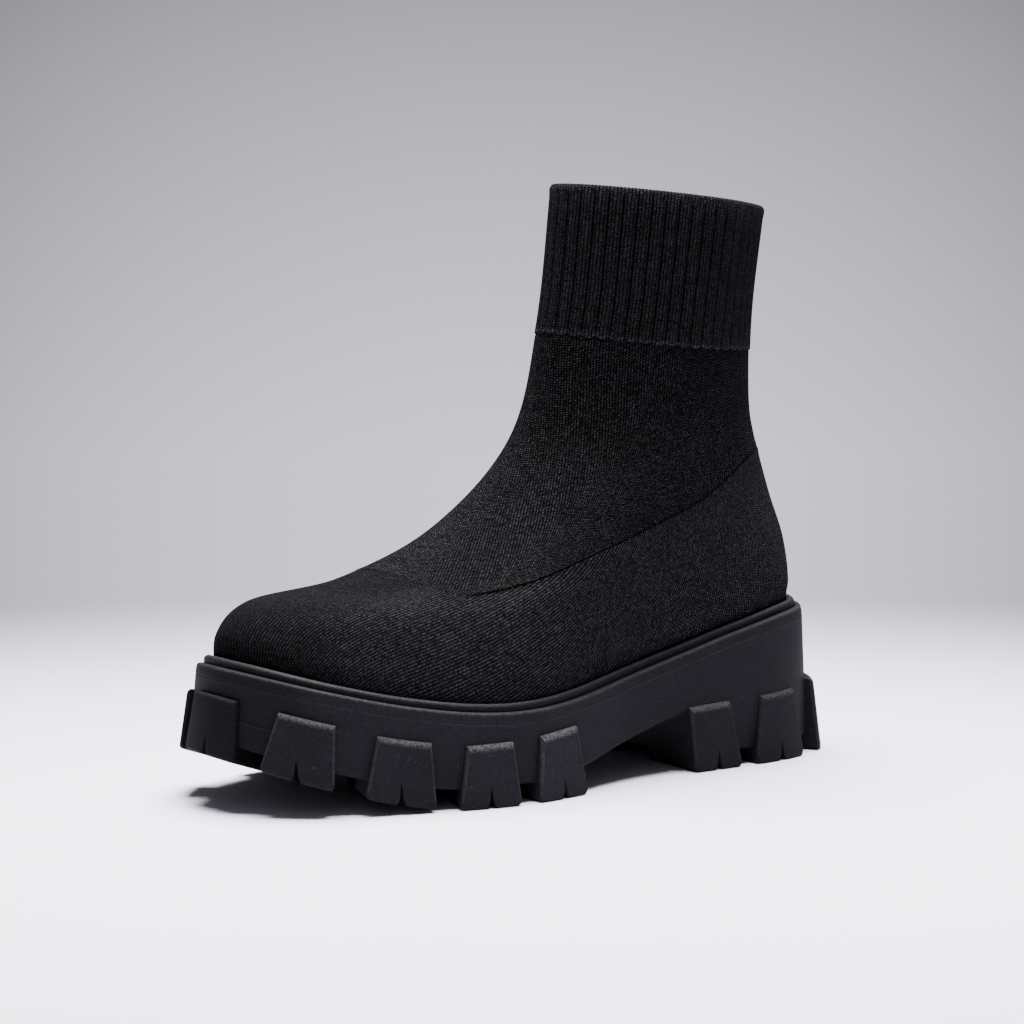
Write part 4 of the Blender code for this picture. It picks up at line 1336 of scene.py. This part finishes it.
def signed_volume(points, polygons):
    """Six times the volume inside a closed mesh, from fans of its faces; negative if it is inside out."""
    total = 0.0
    for row in polygons:
        corner = points[np.asarray(row)]
        total += np.einsum("i,ji->", corner[0], np.cross(corner[1:-1], corner[2:]))
    return total


def keep_flat(piece):
    """Shading that follows the large faces, so that they stay flat between round edges."""
    weighted = piece.modifiers.new("flat_faces", "WEIGHTED_NORMAL")
    weighted.keep_sharp = True


def round_edges(piece, width):
    """Bevel of three steps on every edge, with faces kept flat."""
    bevel = piece.modifiers.new("edge_round", "BEVEL")
    bevel.width = width
    bevel.segments = 3
    keep_flat(piece)


def joined(parts):
    """One list of points and polygons from several closed meshes, each turned to face out."""
    points = []
    polygons = []
    start = 0
    for part_points, part_polygons in parts:
        if signed_volume(part_points, part_polygons) < 0:
            part_polygons = [np.asarray(row)[::-1] for row in part_polygons]
        polygons += [np.asarray(row) + start for row in part_polygons]
        points.append(part_points)
        start += len(part_points)
    return np.concatenate(points), polygons


class BOOT_OT_outsole(bpy.types.Operator):
    """Build the platform, its lugs and the low bars of its tread"""

    bl_idname = "boot.outsole"
    bl_label = "Outsole"

    def execute(self, context):
        settings = context.scene.boot_sole
        rubber = rubber_material("sole_rubber", settings.rubber_colour, settings.scuff_and_highlight_colour, SOLE_RUBBER)
        lug_scuff_and_highlight = [c * LUG_SCUFF_AND_HIGHLIGHT_GAIN for c in settings.scuff_and_highlight_colour]
        lug_rubber = rubber_material("lug_rubber", settings.lug_colour, lug_scuff_and_highlight, LUG_RUBBER)
        self.add_platform(rubber)
        self.add_lugs(lug_rubber)
        self.add_tread_bars(lug_rubber, settings.bar_round)
        return {"FINISHED"}

    def add_platform(self, rubber):
        """Side of the platform as a stack of loops, closed by strips underneath and on the ledge."""
        angle = sole_angles()
        station = foot_station(angle)
        profile = sole_profile(station)
        loops = [np.column_stack([*rim_loop(angle, grow), height]) for grow, height, _ in profile]
        count = len(angle)
        polygons = [*grid_quads(len(loops), count)]
        polygons += cap_polygons(0, count, facing_up=False)
        polygons += cap_polygons((len(loops) - 1) * count, count, facing_up=True)
        platform = add_piece("platform", loops, polygons, (rubber,), "sole_rubber", "outsole")
        add_value(platform, "worn_and_lit", np.repeat([worn_and_lit for _, _, worn_and_lit in profile], count))
        # Painted shade on the wall round the toe
        toe_shade = TOE_RUBBER_PAINTED_SHADE * smooth_step(*TOE_RUBBER_STATIONS, station)
        add_value(platform, "shade", np.tile(toe_shade, len(profile)))

    def add_lugs(self, rubber):
        """Every lug of the table on its sides and the pad between the left toe lugs, with scuffs, painted
        highlights, painted shade and painted light.
        """
        lugs = []
        wear_and_light = []
        shades = []
        for lug in LUGS:
            for side in lug.sides:
                rings = lug_rings(lug, side)
                lugs.append((rings.reshape(-1, 3), lug_polygons(*rings.shape[:2])))
                wear_and_light.append(lug_wear_and_light(lug, *rings.shape[:2]))
                # Painted shade on the toe lugs, and painted light on the lugs behind the ball
                shades.append(np.full(len(wear_and_light[-1]), LUG_PAINTED_SHADES.get(lug.name, 0.0)))
        pad = toe_pad()
        lugs.append((pad.reshape(-1, 3), ring_polygons(*pad.shape[:2])))
        wear_and_light.append(np.zeros(len(lugs[-1][1])))
        # Painted shade on the pad round the toe
        shades.append(np.full(len(wear_and_light[-1]), TOE_RUBBER_PAINTED_SHADE))
        piece = add_piece("lugs", *joined(lugs), (rubber,), "sole_rubber", "outsole")
        add_value(piece, "worn_and_lit", np.concatenate(wear_and_light), "FACE")
        add_value(piece, "shade", np.concatenate(shades), "FACE")
        keep_flat(piece)

    def add_tread_bars(self, rubber, rounding):
        """Low bars along the middle of the tread, each a box from over the floor up into the platform."""
        bars = []
        for place, length, half_width in CENTRE_BARS:
            middle_y = -SWING * max(0.0, (place - SWING_START) / SWING_SPAN) ** 2
            foot = tread_height(place) + CENTRE_BAR_GAP
            corners = np.array(((-1, -1), (1, -1), (1, 1), (-1, 1))) * (length / 2, half_width)
            rings = [np.column_stack([corners + (place, middle_y), np.full(4, z)])
                     for z in (foot, foot + HEEL_RECESS + FORE_RECESS)]
            bars.append((np.concatenate(rings), ring_polygons(2, 4)))
        piece = add_piece("tread_bars", *joined(bars), (rubber,), "sole_rubber", "outsole")
        round_edges(piece, rounding)


BEAD_STEPS = 12
# Painted highlight and scuffs along the top of the bead
BEAD_WEAR_AND_LIGHT = 0.45


class BOOT_OT_welt(bpy.types.Operator):
    """Build the bead between rim and knit"""

    bl_idname = "boot.welt"
    bl_label = "Bead"

    def execute(self, context):
        settings = context.scene.boot_sole
        look = rubber_material("bead_rubber", settings.bead_colour, settings.scuff_and_highlight_colour, BEAD_RUBBER)
        angle = even_angles(SOLE_SEGMENTS)
        rim = rim_height(foot_station(angle))
        foot = rim - LEDGE_DROP + PIECE_GAP
        shoulder = rim + WELT_RISE - WELT_ROUND
        outer = np.stack(rim_loop(angle, -LIP_WIDTH - PIECE_GAP), axis=1)
        inner = np.stack(rim_loop(angle, -UPPER_INSET + VAMP_STAND + PIECE_GAP), axis=1)
        section = [(outer, foot, 0.0)]
        # Upright section with a half-round top
        for turn in np.linspace(0.0, np.pi, BEAD_STEPS):
            share = (1 + np.cos(turn)) / 2
            plan = inner + share * (outer - inner)
            section.append((plan, shoulder + WELT_ROUND * np.sin(turn), BEAD_WEAR_AND_LIGHT * np.sin(turn) ** 2))
        section.append((inner, foot, 0.0))
        loops = [np.column_stack([plan, height]) for plan, height, _ in section]
        quads = grid_quads(len(loops), SOLE_SEGMENTS, closed_rows=True)
        piece = add_piece("bead", loops, quads, (look,), "welt_rubber", "welt")
        add_value(piece, "worn_and_lit", np.concatenate([np.full(SOLE_SEGMENTS, worn_and_lit) for _, _, worn_and_lit in section]))
        return {"FINISHED"}


FOOTBED_EDGE_STEPS = 5
FOOTBED_ROWS = 14
FOOTBED_CUP = 1.6


class BOOT_OT_insole(bpy.types.Operator):
    """Build the cloth-covered footbed inside"""

    bl_idname = "boot.insole"
    bl_label = "Footbed"

    def execute(self, context):
        settings = context.scene.boot_sole
        cloth = cloth_material("footbed_cloth", settings.footbed_colour, FOOTBED_WEAVE)
        angle = even_angles(INSOLE_SEGMENTS)
        foot = rim_height(foot_station(angle)) - LEDGE_DROP + PIECE_GAP
        inset = UPPER_INSET + KNIT_WALL + INSOLE_SIDE_GAP
        loops = [np.column_stack([*rim_loop(angle, -inset), foot])]
        for turn in np.linspace(0.0, np.pi / 2, FOOTBED_EDGE_STEPS):
            grow = -inset - INSOLE_ROUND * (1 - np.cos(turn))
            rise = INSOLE_THICKNESS - INSOLE_ROUND * (1 - np.sin(turn))
            loops.append(np.column_stack([*rim_loop(angle, grow), foot + rise]))
        # The top closes in towards the middle line between facing points, and sinks into a shallow cup
        edge = loops[-1]
        mirrored = edge[(-np.arange(INSOLE_SEGMENTS)) % INSOLE_SEGMENTS]
        middle = (edge + mirrored) / 2
        for share in np.linspace(1.0, 0.0, FOOTBED_ROWS + 1)[1:-1]:
            ring = middle + share * (edge - middle)
            ring[:, 2] -= FOOTBED_CUP * (1 - share ** 2) * np.sin(angle) ** 2
            loops.append(ring)
        polygons = [*grid_quads(len(loops), INSOLE_SEGMENTS)]
        polygons += cap_polygons(0, INSOLE_SEGMENTS, facing_up=False)
        polygons += cap_polygons((len(loops) - 1) * INSOLE_SEGMENTS, INSOLE_SEGMENTS, facing_up=True)
        add_piece("footbed", loops, polygons, (cloth,), "footbed", "insole")
        return {"FINISHED"}


# Floor: millimetres under the boot, its grid, and in metres how its painted pool of light dims and how
# it fades round a point before the boot
FLOOR_DROP = 0.1
FLOOR_RINGS = 24
FLOOR_SEGMENTS = 96
FLOOR_FADE_SHARE = 0.50
FLOOR_DIM = (0.12, 0.68)
FLOOR_DIM_SHARE = 0.45
FLOOR_FORWARD = 0.24
# Soft box: metres behind the boot, to the right of it and over the floor
KEY_BACK = 0.24
KEY_ASIDE = 0.03
KEY_HEIGHT = 1.30
# Background: how fast it darkens with height and to the sides, and its lightness at most and at least
BACKGROUND_SLOPE = 5.2
BACKGROUND_SIDE = 12.0
BACKGROUND_SIDE_LIMIT = 0.048
BACKGROUND_RANGE = (0.45, 1.40)
UP = np.array((0.0, 0.0, 1.0))


def camera_bearing():
    """Level direction from the boot towards the camera."""
    return np.array((np.cos(CAMERA_BEARING), np.sin(CAMERA_BEARING), 0.0))


def camera_right():
    """Level direction to the right in the picture."""
    return np.cross(UP, camera_bearing())


def floor_material(settings):
    """Pale matte floor with a painted pool of light, brightest before the boot, that dims and fades out
    into the background.
    """
    made, wire, shader = start_material("pale_floor", {"Roughness": 0.9, "Specular IOR Level": 0.1})
    offset = wire.node("ShaderNodeVectorMath", {"operation": "SUBTRACT"}, {
        0: wire.object_place(), 1: tuple(camera_bearing() * FLOOR_FORWARD)})
    reach = wire.node("ShaderNodeVectorMath", {"operation": "LENGTH"}, {0: offset}, output=1)
    # Painted pool of light: the floor's colour dims away from a point before the boot
    dim = wire.node("ShaderNodeMapRange", {"interpolation_type": "SMOOTHSTEP"}, {
        0: reach, 1: FLOOR_DIM[0], 2: FLOOR_DIM[1], 3: 0.0, 4: 1.0})
    far = opaque([c * (1 - FLOOR_DIM_SHARE) for c in settings.floor_colour])
    colour = wire.mix(dim, opaque(settings.floor_colour), far)
    shown = wire.node("ShaderNodeMapRange", {"interpolation_type": "SMOOTHSTEP"}, {
        0: reach, 1: settings.floor_radius * FLOOR_FADE_SHARE, 2: settings.floor_radius, 3: 1.0, 4: 0.0})
    colour.feed(shader, "Base Color")
    shown.feed(shader, "Alpha")
    return made


class BOOT_OT_stage(bpy.types.Operator):
    """Set the floor, the background, the soft lights and the camera"""

    bl_idname = "boot.stage"
    bl_label = "Stage"

    def execute(self, context):
        settings = context.scene.boot_stage
        self.add_floor(settings)
        self.add_background(context.scene, settings)
        self.add_soft_box(context.scene, settings)
        self.add_camera(context.scene)
        return {"FINISHED"}

    def add_floor(self, settings):
        """Round floor of rings about a middle point, just under the boot."""
        angle = even_angles(FLOOR_SEGMENTS)
        radius = np.linspace(0.0, 1.0, FLOOR_RINGS + 1)[1:] * (settings.floor_radius + FLOOR_FORWARD)
        rings = np.stack([radius[:, None] * np.cos(angle), radius[:, None] * np.sin(angle)], axis=-1)
        points = np.concatenate([np.zeros((1, 2)), rings.reshape(-1, 2)])
        points = np.column_stack([points, np.full(len(points), -FLOOR_DROP * MM)])
        quads = grid_quads(FLOOR_RINGS, FLOOR_SEGMENTS)[:, ::-1] + 1
        on = (np.arange(FLOOR_SEGMENTS) + 1) % FLOOR_SEGMENTS
        middle = np.stack([np.zeros(FLOOR_SEGMENTS, int), np.arange(FLOOR_SEGMENTS) + 1, on + 1], axis=1)
        mesh = bpy.data.meshes.new("floor")
        mesh.from_pydata(points.tolist(), [], [*quads.tolist(), *middle.tolist()])
        mesh.materials.append(floor_material(settings))
        floor = bpy.data.objects.new("floor", mesh)
        bpy.context.scene.collection.objects.link(floor)

    def add_background(self, scene, settings):
        """Grey background: darker with the height of a direction and with the square of its turn aside."""
        world = bpy.data.worlds.new("studio")
        world.use_nodes = True
        scene.world = world
        wire = Wire(world.node_tree)
        place = wire.node("ShaderNodeTexCoord", output=0)
        height = place.axis(2)
        aside = wire.node("ShaderNodeVectorMath", {"operation": "DOT_PRODUCT"}, {
            0: place, 1: tuple(camera_right())}, output=1)
        turned = (aside * aside).math("MINIMUM", BACKGROUND_SIDE_LIMIT)
        low, high = BACKGROUND_RANGE
        upright = wire.node("ShaderNodeClamp", None, {0: 1.0 - height * BACKGROUND_SLOPE, 1: low, 2: high})
        light = upright * (1.0 - turned * BACKGROUND_SIDE)
        colour = wire.node("ShaderNodeVectorMath", {"operation": "SCALE"}, {
            0: tuple(settings.background_colour), "Scale": light})
        colour.feed(world.node_tree.nodes["Background"], "Color")

    def add_soft_box(self, scene, settings):
        """Square area light over the boot and a little behind it, aimed at the middle of its foot."""
        light = bpy.data.lights.new("soft_box", "AREA")
        light.shape = "RECTANGLE"
        light.size = settings.key_size
        light.size_y = settings.key_size
        light.energy = settings.key_power
        place = Vector(UP * KEY_HEIGHT - camera_bearing() * KEY_BACK + camera_right() * KEY_ASIDE)
        lamp = bpy.data.objects.new("soft_box", light)
        lamp.location = place
        lamp.rotation_mode = "QUATERNION"
        lamp.rotation_quaternion = (-place).to_track_quat("-Z", "Y")
        scene.collection.objects.link(lamp)

    def add_camera(self, scene):
        """Camera in the photograph's place, with its lens worked out from the focal length in pixels."""
        back = np.cos(CAMERA_ELEVATION) * camera_bearing() + np.sin(CAMERA_ELEVATION) * UP
        target = (np.array(CAMERA_TARGET) + SHIFT) * MM
        lens = bpy.data.cameras.new("photo_camera")
        lens.sensor_width = SENSOR_WIDTH
        lens.lens = CAMERA_FOCAL_PIXELS / IMAGE_SIDE * SENSOR_WIDTH
        camera = bpy.data.objects.new("photo_camera", lens)
        aim = Vector(-back).to_track_quat("-Z", "Y").to_matrix().to_4x4()
        roll = Matrix.Rotation(CAMERA_ROLL, 4, "Z")
        camera.matrix_world = Matrix.Translation(target + CAMERA_DISTANCE * MM * back) @ aim @ roll
        scene.collection.objects.link(camera)
        scene.camera = camera


class BOOT_PT_panel(bpy.types.Panel):
    """Pieces of the boot and their settings"""

    bl_idname = "BOOT_PT_panel"
    bl_label = "Knit platform boot"
    bl_space_type = "VIEW_3D"
    bl_region_type = "UI"
    bl_category = "Boot"

    def draw(self, context):
        """Lists the operators, then each group's settings in a box."""
        for operator in OPERATORS:
            self.layout.operator(operator.bl_idname)
        for group in SETTINGS:
            box = self.layout.box()
            settings = getattr(context.scene, group)
            for name in settings.__annotations__:
                box.prop(settings, name)


SETTINGS = {"boot_knit": KnitSettings, "boot_sole": SoleSettings, "boot_stage": StageSettings}
OPERATORS = (BOOT_OT_outsole, BOOT_OT_welt, BOOT_OT_upper, BOOT_OT_cuff, BOOT_OT_insole, BOOT_OT_stage)


def register():
    """Registers the classes and hangs each group of settings on the scene."""
    for group in (*SETTINGS.values(), *OPERATORS, BOOT_PT_panel):
        bpy.utils.register_class(group)
    for name, group in SETTINGS.items():
        setattr(bpy.types.Scene, name, PointerProperty(type=group))


def unregister():
    """Takes the settings off the scene and the classes out again."""
    for name in SETTINGS:
        delattr(bpy.types.Scene, name)
    for group in reversed((*SETTINGS.values(), *OPERATORS, BOOT_PT_panel)):
        bpy.utils.unregister_class(group)


def main():
    """Builds every piece and the stage."""
    register()
    bpy.ops.boot.outsole()
    bpy.ops.boot.welt()
    bpy.ops.boot.upper()
    bpy.ops.boot.cuff()
    bpy.ops.boot.insole()
    bpy.ops.boot.stage()


if __name__ == "__main__":
    main()
